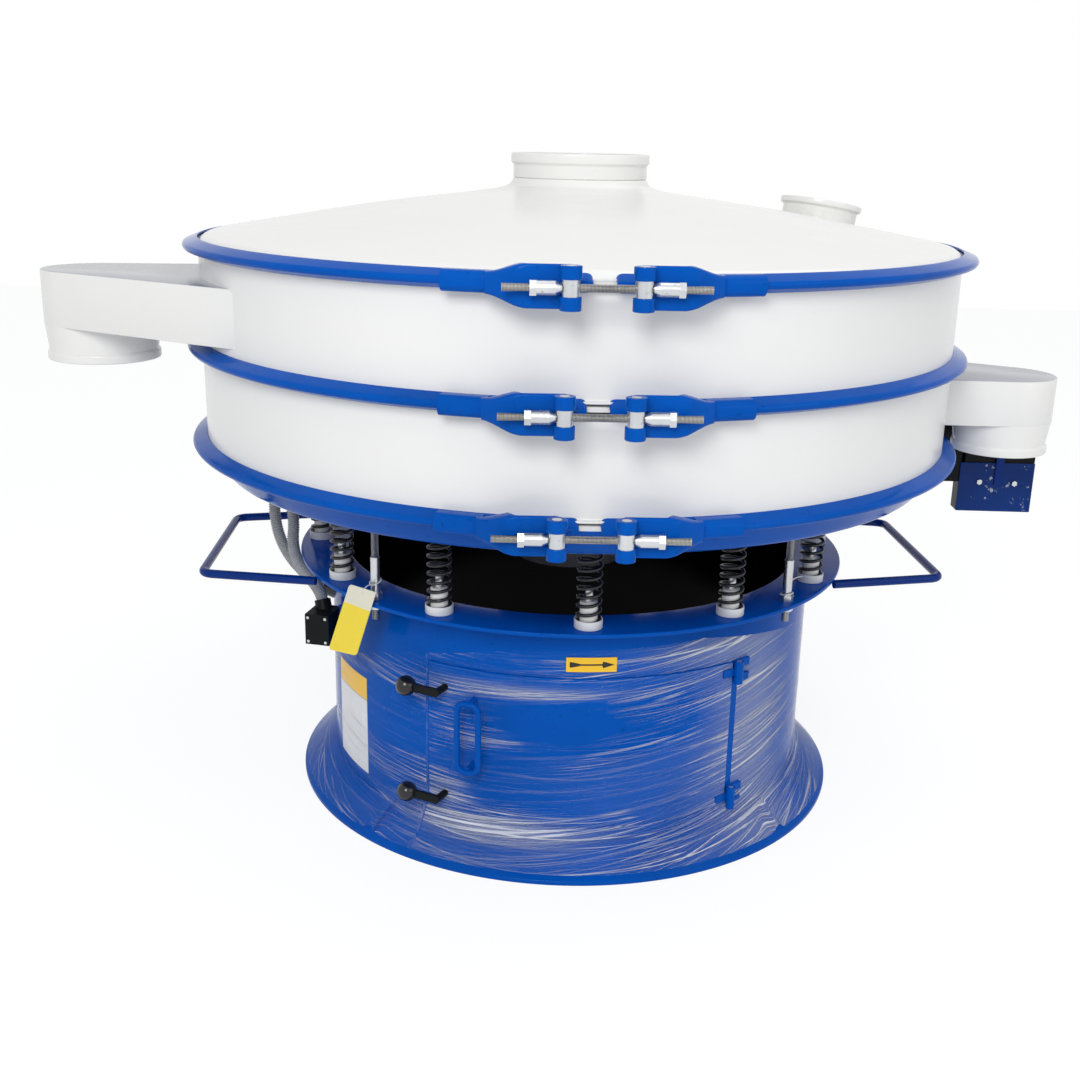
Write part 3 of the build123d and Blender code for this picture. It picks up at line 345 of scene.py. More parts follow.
# %% Making a finish
def mixed(tree, mask, first, second):
    """One colour where a mask is 0 and another where it is 1. Each is a colour or a socket."""
    mix = tree.nodes.new("ShaderNodeMix")
    mix.data_type = "RGBA"
    tree.links.new(mask, mix.inputs[0])
    for socket, colour in ((mix.inputs[6], first), (mix.inputs[7], second)):
        if isinstance(colour, bpy.types.NodeSocket):
            tree.links.new(colour, socket)
        else:
            socket.default_value = (*colour, 1)
    return mix.outputs[2]


def repaint(material, mask, colour):
    """Changes a finish's colour where a mask made in its own nodes is 1."""
    tree = material.node_tree
    base = tree.nodes["Principled BSDF"].inputs["Base Color"]
    tree.links.new(mixed(tree, mask, base.links[0].from_socket, colour), base)


def finish(name, colour, gloss, cloud=0.06, specks=0.15, peel=0.1, waves=0.1, **plain):
    """A surface of one colour with cloudy tone, specks and orange peel. Other inputs stay constant."""
    material = bpy.data.materials.new(name)
    material.use_nodes = True
    tree = material.node_tree
    surface = tree.nodes["Principled BSDF"]
    for label, value in plain.items():
        surface.inputs[label.replace("_", " ")].default_value = value
    amounts = {"Colour": (*colour, 1), "Cloud": cloud, "Specks": specks, "Gloss": gloss}
    tone = add_node(tree, "Group", amounts, node_tree=uneven)
    relief = add_node(tree, "Group", {"Peel": peel, "Waves": waves}, node_tree=paint_skin)
    tree.links.new(tone.outputs["Colour"], surface.inputs["Base Color"])
    tree.links.new(tone.outputs["Roughness"], surface.inputs["Roughness"])
    tree.links.new(relief.outputs["Normal"], surface.inputs["Normal"])
    return material

# %% The enamels
# The near black below is painted shade, for the inside of the base drum.
painted_shade_black = (0.0015, 0.0015, 0.0015)
bare_metal = (0.42, 0.46, 0.52)
# The bluish grey below is painted shade, for the spouts' flat tops.
painted_top_shade = (0.36, 0.365, 0.40)
white = dict(colour=(0.83, 0.825, 0.80), gloss=0.22, cloud=0.012, specks=0.02, peel=0.12, waves=0.05)
blue = dict(colour=(0.0005, 0.082, 0.42), gloss=0.12, cloud=0.12, specks=0.25, peel=0.25, waves=0.25)
blue["IOR"] = 1.13
# Navy is the blue enamel darkened as painted shade, for parts that stand in shade: the handles, the box's
# strap and its cover.
shade_dark_blue = dict(colour=(0.002, 0.03, 0.2), gloss=0.2, cloud=0.12, specks=0.25, peel=0.25, waves=0.2, IOR=1.22)
worn = dict(colour=(0.001, 0.028, 0.17), gloss=0.22, cloud=0.25, specks=0.4, peel=0.3, waves=0.3, IOR=1.25)
black = dict(colour=(0.008, 0.009, 0.009), gloss=0.35, cloud=0.2, specks=0.3, peel=0.2, waves=0.1, IOR=1.2)
white_paint = finish("white enamel", **white)
blue_paint = finish("blue enamel", **blue)
shade_dark_blue_paint = finish("blue enamel darkened as painted shade", **shade_dark_blue)
black_paint = finish("black enamel", **black)

print("enamels:", [paint.name for paint in (white_paint, blue_paint, shade_dark_blue_paint, black_paint)])

# The box's cover is scratched down to the metal, which is real wear; its blue is darkened as painted shade.
worn_shade_dark_blue_paint = finish("worn blue enamel darkened as painted shade", **worn)
scratched = add_node(worn_shade_dark_blue_paint.node_tree, "Group", {"Amount": 0.16, "Size": 42}, node_tree=chips)
repaint(worn_shade_dark_blue_paint, scratched.outputs["Mask"], bare_metal)

# %% Enamels that change over a piece
# The base drum is blue outside, and inside it black is painted as shade, with the change within its wall.
blue_with_painted_shade_inside = finish("blue outside, painted shade inside", **blue)
shade_inside_tree = blue_with_painted_shade_inside.node_tree
level_only = {0: object_place(shade_inside_tree), 1: (1, 1, 0)}
level_place = add_node(shade_inside_tree, "VectorMath", level_only, operation="MULTIPLY").outputs[0]
from_axis = add_node(shade_inside_tree, "VectorMath", {0: level_place}, operation="LENGTH").outputs["Value"]
repaint(blue_with_painted_shade_inside, calculate(shade_inside_tree, "LESS_THAN", from_axis, 0.5165), painted_shade_black)

# The spouts' flat tops are painted a dull bluish grey as shade.
white_with_painted_shade_top = finish("white enamel with painted shade on top", **white)
top_shade_tree = white_with_painted_shade_top.node_tree
facing = add_node(top_shade_tree, "SeparateXYZ", {0: add_node(top_shade_tree, "NewGeometry").outputs["Normal"]})
repaint(white_with_painted_shade_top, remap(top_shade_tree, facing.outputs[2], 0.9, 0.99), painted_top_shade)
print("two-part enamels:", blue_with_painted_shade_inside.name, "and", white_with_painted_shade_top.name)

# %% Plastics and metals
spring_black = finish(
    "black spring steel", (0.012, 0.012, 0.013), 0.3, cloud=0.3, specks=0.5, peel=0.3, waves=0
)
white_plastic = finish(
    "white plastic", (0.78, 0.78, 0.76), 0.35, cloud=0.04, specks=0.1, peel=0.1, waves=0
)
black_plastic = finish(
    "black plastic", (0.008, 0.008, 0.009), 0.15, cloud=0.1, specks=0.2, peel=0.05, waves=0
)
grey_plastic = finish(
    "grey conduit", (0.36, 0.37, 0.38), 0.45, cloud=0.15, specks=0.2, peel=0.1, waves=0
)
grey_rubber = finish(
    "dark rubber", (0.03, 0.03, 0.03), 0.6, cloud=0.2, specks=0.3, peel=0.3, waves=0
)
zinc = finish(
    "zinc plate", (0.60, 0.62, 0.64), 0.28, cloud=0.2, specks=0.35, peel=0.25, waves=0.05, Metallic=1.0
)
weight_iron = finish(
    "cast iron", (0.16, 0.16, 0.165), 0.5, cloud=0.25, specks=0.4, peel=0.8, waves=0.1, Metallic=0.8
)
print("finishes so far:", len(bpy.data.materials))

# %% Screw threads
def threaded(name, colour, gloss, axis, pitch):
    """Bright metal with a screw thread: a wave along one axis, bumped, and darkened in its valleys as painted
    shade.
    """
    material = finish(name, colour, gloss, cloud=0.15, specks=0.3, peel=0.2, waves=0, Metallic=1.0)
    tree = material.node_tree
    surface = tree.nodes["Principled BSDF"]
    along = add_node(tree, "SeparateXYZ", {0: object_place(tree)}).outputs[axis]
    ridge = calculate(tree, "SINE", calculate(tree, "MULTIPLY", along, 2 * pi / (pitch * MM)))
    thread = bump(tree, ridge, 0.9, 0.0007, surface.inputs["Normal"].links[0].from_socket)
    tree.links.new(thread, surface.inputs["Normal"])
    shade = remap(tree, ridge, -1, 0.4, 0.35, 1)
    shaded_colour = {0: surface.inputs["Base Color"].links[0].from_socket, "Scale": shade}
    dark = add_node(tree, "VectorMath", shaded_colour, operation="SCALE").outputs[0]
    tree.links.new(dark, surface.inputs["Base Color"])
    return material


thread_across = threaded("thread across", (0.62, 0.60, 0.56), 0.3, 0, 2.0)
thread_upright = threaded("thread upright", (0.62, 0.61, 0.58), 0.3, 2, 2.2)
print("threads:", thread_across.name, "and", thread_upright.name)

# %% Woven wire
# Two waves across each other, raised where either wire runs.
woven_wire = finish("woven wire", (0.55, 0.56, 0.57), 0.35, Metallic=1.0)
wire_tree = woven_wire.node_tree
wire_place = add_node(wire_tree, "SeparateXYZ", {0: object_place(wire_tree)})
radians_per_metre = 2600
wire_waves = []
for axis in (0, 1):
    angle = calculate(wire_tree, "MULTIPLY", wire_place.outputs[axis], radians_per_metre)
    wire_waves.append(calculate(wire_tree, "SINE", angle))
wire_height = calculate(wire_tree, "MAXIMUM", *wire_waves)
wire_surface = wire_tree.nodes["Principled BSDF"]
wire_tree.links.new(bump(wire_tree, wire_height, 0.8, 0.0005), wire_surface.inputs["Normal"])
print("a wire every", round(2 * pi / radians_per_metre / MM, 1), "mm")

# %% The finishes on the solids
slot_finish = {
    "white_paint": white_paint,
    "blue_paint": blue_paint,
    "black_paint": black_paint,
    "black_spring": spring_black,
    "zinc_steel": zinc,
    "screen_wire": woven_wire,
    "cast_weight": weight_iron,
    "white_plastic": white_plastic,
    "black_plastic": black_plastic,
    "grey_conduit": grey_plastic,
    "grey_rubber": grey_rubber,
}
for entry in frame["record"]["subparts"]:
    node = frame["nodes"][entry["node"]]
    node.data.materials.clear()
    node.data.materials.append(slot_finish[entry["material_slot"]])

# A few solids look other than their slot says: threads, black latch levers and white gaskets.
seen_finish = {"stay_rods": thread_upright, "gaskets": white_plastic}
seen_finish |= {"clamp_rod_" + label: thread_across for label in ("bottom", "middle", "top")}
seen_finish |= {"latch_lever_" + label: black_paint for label in ("lower", "upper")}
for label, material in seen_finish.items():
    frame["nodes"][label].data.materials[0] = material

# %% [markdown]
# ## The conduits
# Two corrugated conduits carry the motor's cable down to the base. Each one's line is a smooth
# spline through a few given points, and the ribs are a wave in the tube's radius.

# %% The two conduits
rib_pitch = 5.2
conduit_points = {
    "conduit_front": [
        (-620, -36, 668), (-620, -36, 626), (-609, -42, 584), (-603, -52, 543), (-603, -74, 506),
        (-590, -103, 477), (-565, -133, 457), (-538, -161, 441), (-521, -184, 427), (-517, -190, 410),
    ],
    "conduit_rear": [
        (-648, -8, 668), (-648, -8, 626), (-654, -12, 584), (-652, -18, 542), (-641, -30, 502),
        (-618, -48, 468), (-588, -68, 442), (-556, -85, 424), (-525, -96, 416),
    ],
}


def smooth_line(points):
    """The points of a smooth spline that has the given points as its control points, in mm."""
    curve = bpy.data.curves.new("route", "CURVE")
    curve.dimensions = "3D"
    spline = curve.splines.new("NURBS")
    spline.points.add(len(points) - 1)
    spline.points.foreach_set("co", np.column_stack([np.array(points) * MM, np.ones(len(points))]).ravel())
    spline.order_u = 3
    spline.use_endpoint_u = True
    spline.resolution_u = 12
    holder = bpy.data.objects.new("route", curve)
    bpy.context.scene.collection.objects.link(holder)
    bpy.context.view_layer.update()
    line = bpy.data.meshes.new_from_object(holder.evaluated_get(bpy.context.evaluated_depsgraph_get()))
    places = np.empty(len(line.vertices) * 3)
    line.vertices.foreach_get("co", places)
    bpy.data.objects.remove(holder)
    return places.reshape(-1, 3) / MM


for label, points in conduit_points.items():
    rough = smooth_line(points)
    run = np.concatenate([[0], np.cumsum(np.linalg.norm(np.diff(rough, axis=0), axis=1))])
    along = np.arange(0, run[-1], 1.0)
    line = np.column_stack([np.interp(along, run, rough[:, axis]) for axis in range(3)])
    ribbed = 12.1 + 0.9 * np.clip(1.6 * np.sin(2 * pi * along / rib_pitch), -1, 1)
    piece = make_piece(label + "_ribbed", [tube(line, ribbed, 20)], grey_plastic, "base", [label])
    print(label, "length", round(run[-1]), "mm")

# %% [markdown]
# ## The drums, the dish and the lid
# These are rolled and flanged sheet. A drum is one outline carried round the axis as a thin skin,
# with the cells in front of a spout left out, and the wall is given its thickness afterwards.

# %% Levels and radii of the sieve body
joints = {"bottom": 763, "middle": 956, "top": 1149}
drum_radius, flange_radius, drum_height, gasket_half = 762, 777, 185, 4
upper_spout = dict(floor=985, height=107, azimuth=-81.3, reach=967, end=112)
lower_spout = dict(floor=812, height=93, azimuth=88.6, reach=907, end=101)
spouts = {
    "upper": upper_spout | dict(mouths=(-47.6, -90), outlet=105, bottom=915),
    "lower": lower_spout | dict(mouths=(80.5, 106.4), outlet=93, bottom=745),
}


def tangent_point(point, centre, radius, side):
    """Where a line from a point just touches a circle, on its left (1) or right (-1) side."""
    gap = point - centre
    distance = np.linalg.norm(gap)
    swing = side * np.arccos(radius / distance)
    turn = np.array([[cos(swing), -sin(swing)], [sin(swing), cos(swing)]])
    return centre + turn @ gap / distance * radius


def meets_drum(start, end, radius):
    """The first point past start, on the way to end, at a radius from the axis: a root of a quadratic."""
    run = end - start
    a, b, c = run @ run, 2 * start @ run, start @ start - radius**2
    return start + run * (-b - np.sign(c) * np.sqrt(b * b - 4 * a * c)) / (2 * a)


for spout in spouts.values():
    centre = outward(spout["azimuth"])[:2] * spout["reach"]
    mouths = [outward(azimuth)[:2] * (drum_radius - 24) for azimuth in spout["mouths"]]
    (first_x, first_y), (last_x, last_y) = mouths - centre
    sides = (-1, 1) if first_x * last_y > first_y * last_x else (1, -1)
    touches = [tangent_point(mouth, centre, spout["end"], side) for mouth, side in zip(mouths, sides)]
    spout["centre"], spout["touches"] = centre, touches
    spout["roots"] = [meets_drum(mouth, touch, drum_radius) for mouth, touch in zip(mouths, touches)]
    spout["window"] = sorted(degrees(atan2(root[0], -root[1])) for root in spout["roots"])
    print("spout window from", [round(edge, 1) for edge in spout["window"]], "degrees")


# %% The two drums
def open_drum(radius, levels, window, columns, open_row):
    """A drum's skin at azimuths that include a window's two edges, less the cells between them in one row."""
    left, right = window
    inside = np.linspace(left, right, columns[0])
    outside = np.linspace(right, left + 360, columns[1])[1:-1]
    angles = np.radians(np.concatenate([inside, outside]))[:, None]
    keep = np.ones((len(angles), len(levels) - 1), bool)
    keep[: len(inside) - 1, open_row] = False
    return skin(around_axis(np.array(radius), np.array(levels), angles), round_v=False, keep=keep)


for label, base in (("lower", "bottom"), ("upper", "middle")):
    spout = spouts[label]
    low, high = joints[base] + gasket_half, joints[base] + gasket_half + drum_height
    spout_floor, spout_top = spout["floor"] + 4, spout["floor"] + spout["height"] - 4
    levels = [low + 4, low + 4, spout_floor, spout_top, high - 4, high - 4]
    radii = [flange_radius] + [drum_radius] * 4 + [flange_radius]
    drum_shell = open_drum(radii, levels, spout["window"], (24, 200), 2)
    name, solid = label + "_drum_sheet", label + "_drum"
    make_piece(name, [drum_shell], white_paint, "sieve", [solid], bevel=2.2, wall=4)

# %% The dish under the drums
dish_outline = [(777, 759), (777, 755.5), (769, 755), (742, 718), (733, 707), (660, 690)]
dish_outline += [(190, 690), (190, 698), (660, 698), (725, 714), (750, 759)]
dish_shell = skin(turned(rounded(dish_outline, [1, 1, 3, 14, 14, 14, 2, 2, 10, 10, 2], 5)))
make_piece("dish_pressing", [dish_shell], blue_paint, "sieve", ["dish"])

# %% The lid
lid_top = [(777, 1153), (777, 1156.5), (764, 1157), (760, 1161), (750, 1168), (442, 1222), (172, 1258)]
lid_top += [(143, 1267), (136, 1280)]
lid_under = [(132, 1283), (142, 1264), (172, 1254), (442, 1218), (748, 1164), (757, 1158), (757, 1153)]
lid_radii = [1, 1, 2, 3, 8, 60, 14, 8, 1] + [1, 8, 14, 60, 8, 3, 1]
lid_shell = skin(turned(rounded(lid_top + lid_under, lid_radii, 6), steps=256))
lid_piece = make_piece("lid_pressing", [lid_shell], white_paint, "sieve", ["lid"])

# %% The two necks
neck_outline = [(132, 1282), (136, 1282), (136, 1307), (139, 1310)]
neck_outline += [(141, 1312), (141, 1327), (139.5, 1330), (132, 1330)]
neck_shell = skin(turned(rounded(neck_outline, 2, 4), steps=128))
make_piece("inlet_neck", [neck_shell], white_paint, "sieve", ["inlet_tube"])

lid_rim, lid_crown = (750, 1168), (442, 1222)
port_slope = atan2(lid_crown[1] - lid_rim[1], lid_rim[0] - lid_crown[0])
port_out, port_reach = outward(121), 640
port_level = lid_rim[1] + (lid_rim[0] - port_reach) * np.tan(port_slope)
port_base = port_out * port_reach + straight_up * port_level
port_axis = port_out * sin(port_slope) + straight_up * cos(port_slope)
port_side = np.cross([0, 0, 1], port_out)
port_outline = [(80, -9), (84, -9), (84, 29), (88, 31), (92, 33), (92, 43.5), (90, 45), (80, 45)]
port_shell = skin(turned(rounded(port_outline, 2, 4), steps=96))
port_frame = (port_base, np.cross(port_side, port_axis) * -1, port_side, port_axis)
make_piece("port_neck", [moved(port_shell, *port_frame)], white_paint, "sieve", ["side_port"])

# %% The port's hole in the lid
# It is cut with a plain cylinder, which is then thrown away.
plug = skin(turned([(0.01, -40), (79.5, -40), (79.5, 40), (0.01, 40)], steps=96))
cutter = make_piece("cutter", [moved(plug, *port_frame)], white_paint)
hole = lid_piece.modifiers.new("port hole", "BOOLEAN")
hole.object = cutter
hole.operation = "DIFFERENCE"
bpy.context.view_layer.update()
cut_mesh = bpy.data.meshes.new_from_object(lid_piece.evaluated_get(bpy.context.evaluated_depsgraph_get()))
lid_piece.modifiers.clear()
lid_piece.data = cut_mesh
bpy.data.objects.remove(cutter)
print("lid after the cut:", len(cut_mesh.polygons), "faces")

# %% [markdown]
# ## The spouts
# A spout is a flat box folded round a half circle. Its plan is one closed line: two straight sides,
# the round end, and the arc where it meets the drum. The top and the floor are that line drawn in
# towards the end's centre, and the wall is left open along the drum.

# %% A spout's plan
def spout_plan(spout, inset):
    """The closed plan line, drawn in by an inset, and which of its steps lie along the drum."""
    centre, shrink = spout["centre"], (spout["end"] - inset) / spout["end"]
    touches = [centre + (touch - centre) * shrink for touch in spout["touches"]]
    runs = [root - touch for root, touch in zip(spout["roots"], spout["touches"])]
    roots = [meets_drum(touch, touch + run, drum_radius) for touch, run in zip(touches, runs)]
    share = np.linspace(0, 1, 7)[:, None]
    side_in = roots[0] + (touches[0] - roots[0]) * share
    side_out = touches[1] + (roots[1] - touches[1]) * share
    start, stop = (atan2(*(touch - centre)[::-1]) for touch in touches)
    middle = atan2(*centre[::-1])
    first_bend, last_bend = ((turn - middle + pi) % (2 * pi) - pi for turn in (start, stop))
    bend = middle + np.linspace(first_bend, last_bend, 49)[1:-1]
    end = centre + (spout["end"] - inset) * np.column_stack([np.cos(bend), np.sin(bend)])
    first_angle, last_angle = (atan2(root[0], -root[1]) for root in roots)
    drum_arc = around_axis(drum_radius, 0, np.linspace(last_angle, first_angle, 18)[1:-1])[:, :2]
    plan = np.concatenate([side_in, end, side_out, drum_arc])
    return plan, np.arange(len(plan)) >= len(plan) - len(drum_arc) - 1

# %% A spout's shell
def spout_shell(spout):
    """Plan lines from the middle of the top, over the rounded outside to the hole, and back up inside."""
    outer, along_drum = spout_plan(spout, 0)
    near, far, inner = (spout_plan(spout, inset)[0] for inset in (0.6, 2, 4))
    arms = outer - spout["centre"]
    hole = spout["centre"] + arms / np.linalg.norm(arms, axis=1)[:, None] * (spout["outlet"] - 4)
    top, floor = spout["floor"] + spout["height"], spout["floor"]
    lines = [(far, top), (near, top - 0.6), (outer, top - 2)]
    lines += [(outer, floor + 2), (near, floor + 0.6), (far, floor)]
    lines += [(hole, floor), (hole, floor + 4), (inner, floor + 4), (inner, top - 4)]
    grid = np.array([np.column_stack([line, np.full(len(line), height)]) for line, height in lines])
    keep = np.ones((9, len(outer)), bool)
    keep[:5] = keep[8] = ~along_drum
    points, faces = skin(grid, round_u=False, keep=keep)
    count = len(outer)
    first = np.flatnonzero(along_drum)
    second = (first + 1) % count
    edges = [
        np.column_stack([a * count + first, a * count + second, b * count + second, b * count + first])
        for a, b in ((0, 9), (5, 8))
    ]
    wall_rows = np.array([0, 1, 2, 3, 4, 5, 8, 9])
    ends = np.array([wall_rows * count + corner for corner in (first[0], 0)])
    caps = [np.arange(count)[None], 9 * count + np.arange(count)[None]]
    return points, faces + edges + [ends] + caps

# %% The spouts and their outlets
for label, spout in spouts.items():
    box_name, tube_name = label + "_spout_box", label + "_outlet_tube"
    # The boxes' flat tops carry painted shade from their finish.
    make_piece(box_name, [spout_shell(spout)], white_with_painted_shade_top, "sieve", [label + "_spout"])
    outer, bottom, floor = spout["outlet"], spout["bottom"], spout["floor"]
    outlet_outline = [(outer - 4, bottom), (outer + 3.5, bottom)]
    outlet_outline += [(outer + 5, bottom + 2), (outer + 5, bottom + 15)]
    outlet_outline += [(outer + 3, bottom + 18), (outer + 1, bottom + 19)]
    outlet_outline += [(spout["end"] - 0.3, floor + 2), (outer - 4, floor + 2)]
    outlet_shell = skin(turned(rounded(outlet_outline, [1.5] * 6 + [0.1] * 2, 4), steps=96))
    outlet = moved(outlet_shell, (*spout["centre"], 0), *upright)
    make_piece(tube_name, [outlet], white_paint, "sieve", [label + "_outlet"])

# %% [markdown]
# ## The clamp hoops
# Each joint is closed by a hoop of V section that wedges two flanges together. Its ends are flared
# into lugs at the front, and a screw with two long nuts pulls them together.

# %% Outlines of the hoops and their sleeves
clamp_turns = {"bottom": -1.7, "middle": -1.2, "top": -0.9}
half_gap, band_radius = 18, 796
band_outline = [(766, 16), (771, 14.5), (793, 6), (796, 0), (793, -6), (773, -14), (768, -15)]
band_outline = np.array(band_outline + [(768, -11), (789, -4), (789, 4), (766, 12)])
sleeve_outline = np.array([(776, -17), (795, -17), (803, -9), (803, 9), (795, 17), (776, 17), (791.5, 0)])
print("the hoops' ends are", 2 * half_gap, "mm apart")

# %% The lugs
def section(width, height, corner, steps=4):
    """A rounded rectangle as a closed line of (across, up)."""
    corners = np.array([(-1, -1), (1, -1), (1, 1), (-1, 1)]) * (width / 2, height / 2)
    return rounded(corners, corner, steps)


def flare(stations):
    """A tube through rounded rectangles: each station is (along, depth, width, height, corner)."""
    rings = []
    for along, depth, width, height, corner in stations:
        across, up = section(width, height, corner).T
        rings.append(np.stack([np.full(len(up), along), across + depth, up], -1))
    return capped(np.array(rings))


def lug_shells(side):
    """A web, a flared channel and two collars at one end of a hoop, in mm to the right, out and up."""
    share = np.linspace(0, 1, 12)
    ease = share**2 * (3 - 2 * share)
    tables = [819, 806.5, 777], [10, 34, 26], [4, 8, 9]
    depths, widths, corners = (np.interp(share, [0, 0.2, 1], table) for table in tables)
    depths = depths + 3 * np.sin(pi * share) * (share > 0.2)
    columns = [119 + 62 * share, depths, widths, 66 - 32 * ease, corners]
    stations = [(52, 819.5, 9, 66, 4), (116, 819.5, 9, 66, 4)] + np.column_stack(columns).tolist()
    web = block((84, 35, 8), (side * 95, 806.5, 0))
    channel = flare([(side * along, *rest) for along, *rest in stations])
    collar_outline = rounded([(8.05, 12.6), (16.5, 12.6), (16.5, 33), (8.05, 33)], 1.5, 4)
    points, faces = skin(turned(collar_outline, steps=40))
    place = (side * 54, 838, 0)
    collars = [moved((points * [1, 1, way], faces), place, *upright) for way in (1, -1)]
    return [web, channel] + collars


# %% The three hoops
for label, level in joints.items():
    azimuth = clamp_turns[label] + machine_turn
    gap = degrees(asin(half_gap / band_radius))
    band = rounded(band_outline + [0, level], 2, 4)
    spans = [(gap, gap + 0.9, 7), (gap + 1.4, 358.6 - gap, 286), (359.1 - gap, 360 - gap, 7)]
    parts = [turned(band, azimuth + first, azimuth + last, steps) for first, last, steps in spans]
    hoop = np.concatenate(parts)
    tongue = np.sqrt(1 - (1 - np.linspace(0, 1, 7)) ** 2) * 0.5 + 0.5
    for end, shares in ((slice(0, 7), tongue), (slice(-7, None), tongue[::-1])):
        hoop[end, :, 2] = level + (hoop[end, :, 2] - level) * shares[:, None]
    shells = [capped(hoop)]
    lug_frame = (straight_up * level, outward(azimuth + 90), outward(azimuth), straight_up)
    for side in (-1, 1):
        sleeve = rounded(sleeve_outline + [0, level], [1, 7, 6, 6, 7, 1, 1], 5)
        shells.append(capped(turned(sleeve, azimuth + side * 12.5, azimuth + side * 18.2, 16)))
        shells += [moved(shell, *lug_frame) for shell in lug_shells(side)]
    make_piece("clamp_hoop_" + label, shells, blue_paint, "sieve", ["clamp_band_" + label], bevel=1.2)

# %% [markdown]
# ## The base
# The base is a drum on a flared skirt with a flat ring on top. The ring carries the springs, and
# two bent tubes under it are the handles.

# %% The base drum, skirt and plate
base_radius = 521
door_left, door_right = -32 + machine_turn, 32 + machine_turn
base_shell = open_drum(base_radius, [58, 100, 384, 501.0], (door_left, door_right), (24, 120), 1)
make_piece("base_drum_sheet", [base_shell], blue_with_painted_shade_inside, "base", ["base_drum"], bevel=1.5, wall=8)

skirt_outline = [(521, 58), (593, 9), (594, 7), (594, 0), (534, 0)]
skirt_outline += [(534, 8), (578, 8), (521, 50), (513, 50), (513, 58)]
skirt_shell = skin(turned(rounded(skirt_outline, [3, 1.5, 1.5, 1.5, 1, 1, 2, 2, 1, 2], 4)))
make_piece("base_skirt_pressing", [skirt_shell], blue_paint, "base", ["base_skirt"])

plate_outline = [(485, 501), (587, 501), (587, 509), (485, 509)]
make_piece("spring_ring", [skin(turned(rounded(plate_outline, 2, 4)))], blue_paint, "base", ["spring_plate"])

# %% The two handles
machine_right, machine_out = outward(90 + machine_turn), outward(machine_turn)
# The handles take the blue darkened as painted shade.
for label, side in (("left", -1), ("right", 1)):
    corners = [(530, 250), (768, 205), (768, -205), (530, -250)]
    path = np.array([side * x * machine_right + y * machine_out + straight_up * 492 for x, y in corners])
    make_piece("handle_tube_" + label, [tube(bent(path, 25), 9, 20)], shade_dark_blue_paint, "base", ["handle_" + label])

# %% [markdown]
# ## The springs
# Twelve coil springs stand in white cups. Each is a helix whose end coils are closed up and lie
# flat, which comes from easing the rise at both ends.

# %% Springs and cups
spring_turns = 10.5
share = np.linspace(0, 1, int(spring_turns * 24))
rise = np.interp(share, [0, 0.075, 0.925, 1], [0, 0.032, 0.968, 1])
coil_angle = 2 * pi * spring_turns * share
coil_radius, wire_radius, coil_foot, coil_head = 20.9, 3.3, 516.6, 678.6
coil = [coil_radius * np.cos(coil_angle), coil_radius * np.sin(coil_angle)]
spring_path = np.column_stack([*coil, coil_foot + (coil_head - coil_foot) * rise])
one_spring = tube(spring_path, wire_radius, 10)
spring_places = [outward(30 * index + machine_turn) * 546 for index in range(12)]
spring_shells = [moved(one_spring, spot, *upright) for spot in spring_places]
springs = make_piece("coil_springs", spring_shells, spring_black)
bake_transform(springs)
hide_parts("springs")

cup_outline = [(0.01, 509), (26.5, 509), (26.5, 526), (24.6, 526)]
cup_outline += [(24.6, 513), (16.5, 513), (16.5, 559), (0.01, 559)]
cup = skin(turned(rounded(cup_outline, [0.1, 1.5, 1, 0.6, 1, 1, 1.5, 0.1], 4), steps=40))
cups = [moved(cup, spot, *upright) for spot in spring_places]
make_piece("spring_seats", cups, white_plastic, "base", ["spring_cups"])

# %% [markdown]
# ## The door
# The door is a piece of the same rolled sheet, lapped over its opening and hung on the right.
# It has a loop to pull it by and two turning latches with ball knobs.

# %% The door
door_radius = base_radius + 0.3 + 4
door_angles = np.radians(np.linspace(-34, 34, 48) + machine_turn)[:, None]
door_shell = skin(around_axis(door_radius, np.array([88, 396.0]), door_angles), False, False)
make_piece("door_sheet", [door_shell], blue_paint, "door", ["door_panel"], bevel=1.2, wall=4)

# %% The pull loop
grip_out, grip_right = outward(-23 + machine_turn), outward(67 + machine_turn)
loop_radius, loop_level, loop_stand = door_radius + 36, 270, 66
loop_corners = rounded([(-22, -71), (22, -71), (22, 71), (-22, 71)], 22, 12)
loop_middle = grip_out * loop_radius + straight_up * loop_level
loop_path = loop_middle + loop_corners[:, :1] * grip_right + loop_corners[:, 1:] * straight_up
loop_step = np.roll(loop_path, -1, 0) - np.roll(loop_path, 1, 0)
loop_side = np.cross(loop_step, grip_out)
loop_side /= np.linalg.norm(loop_side, axis=1)[:, None]
ring_angle = np.linspace(0, 2 * pi, 16, endpoint=False)[None, :, None]
loop_grid = loop_path[:, None] + 6 * (np.cos(ring_angle) * loop_side[:, None] + np.sin(ring_angle) * grip_out)
stubs = []
for end in (-1, 1):
    foot = straight_up * (loop_level + end * loop_stand)
    stubs.append(tube(np.array([grip_out * radius + foot for radius in (door_radius, loop_radius)]), 6))
make_piece("pull_loop", [skin(loop_grid)] + stubs, blue_paint, "door", ["door_grip"])

# %% The latches' ball knobs
latch_out, latch_right = outward(-30 + machine_turn), outward(60 + machine_turn)
for label, level in (("lower", 125), ("upper", 350)):
    polar = np.linspace(0.02, pi - 0.02, 24)
    ball = skin(turned(np.column_stack([20 * np.sin(polar), -20 * np.cos(polar)]), steps=40), True, False)
    knob_place = latch_out * (door_radius + 33.5) - latch_right * 68 + straight_up * level
    knob = moved(ball, knob_place, *upright)
    make_piece("ball_knob_" + label, [knob], black_plastic, "latch_" + label, ["latch_knob_" + label])
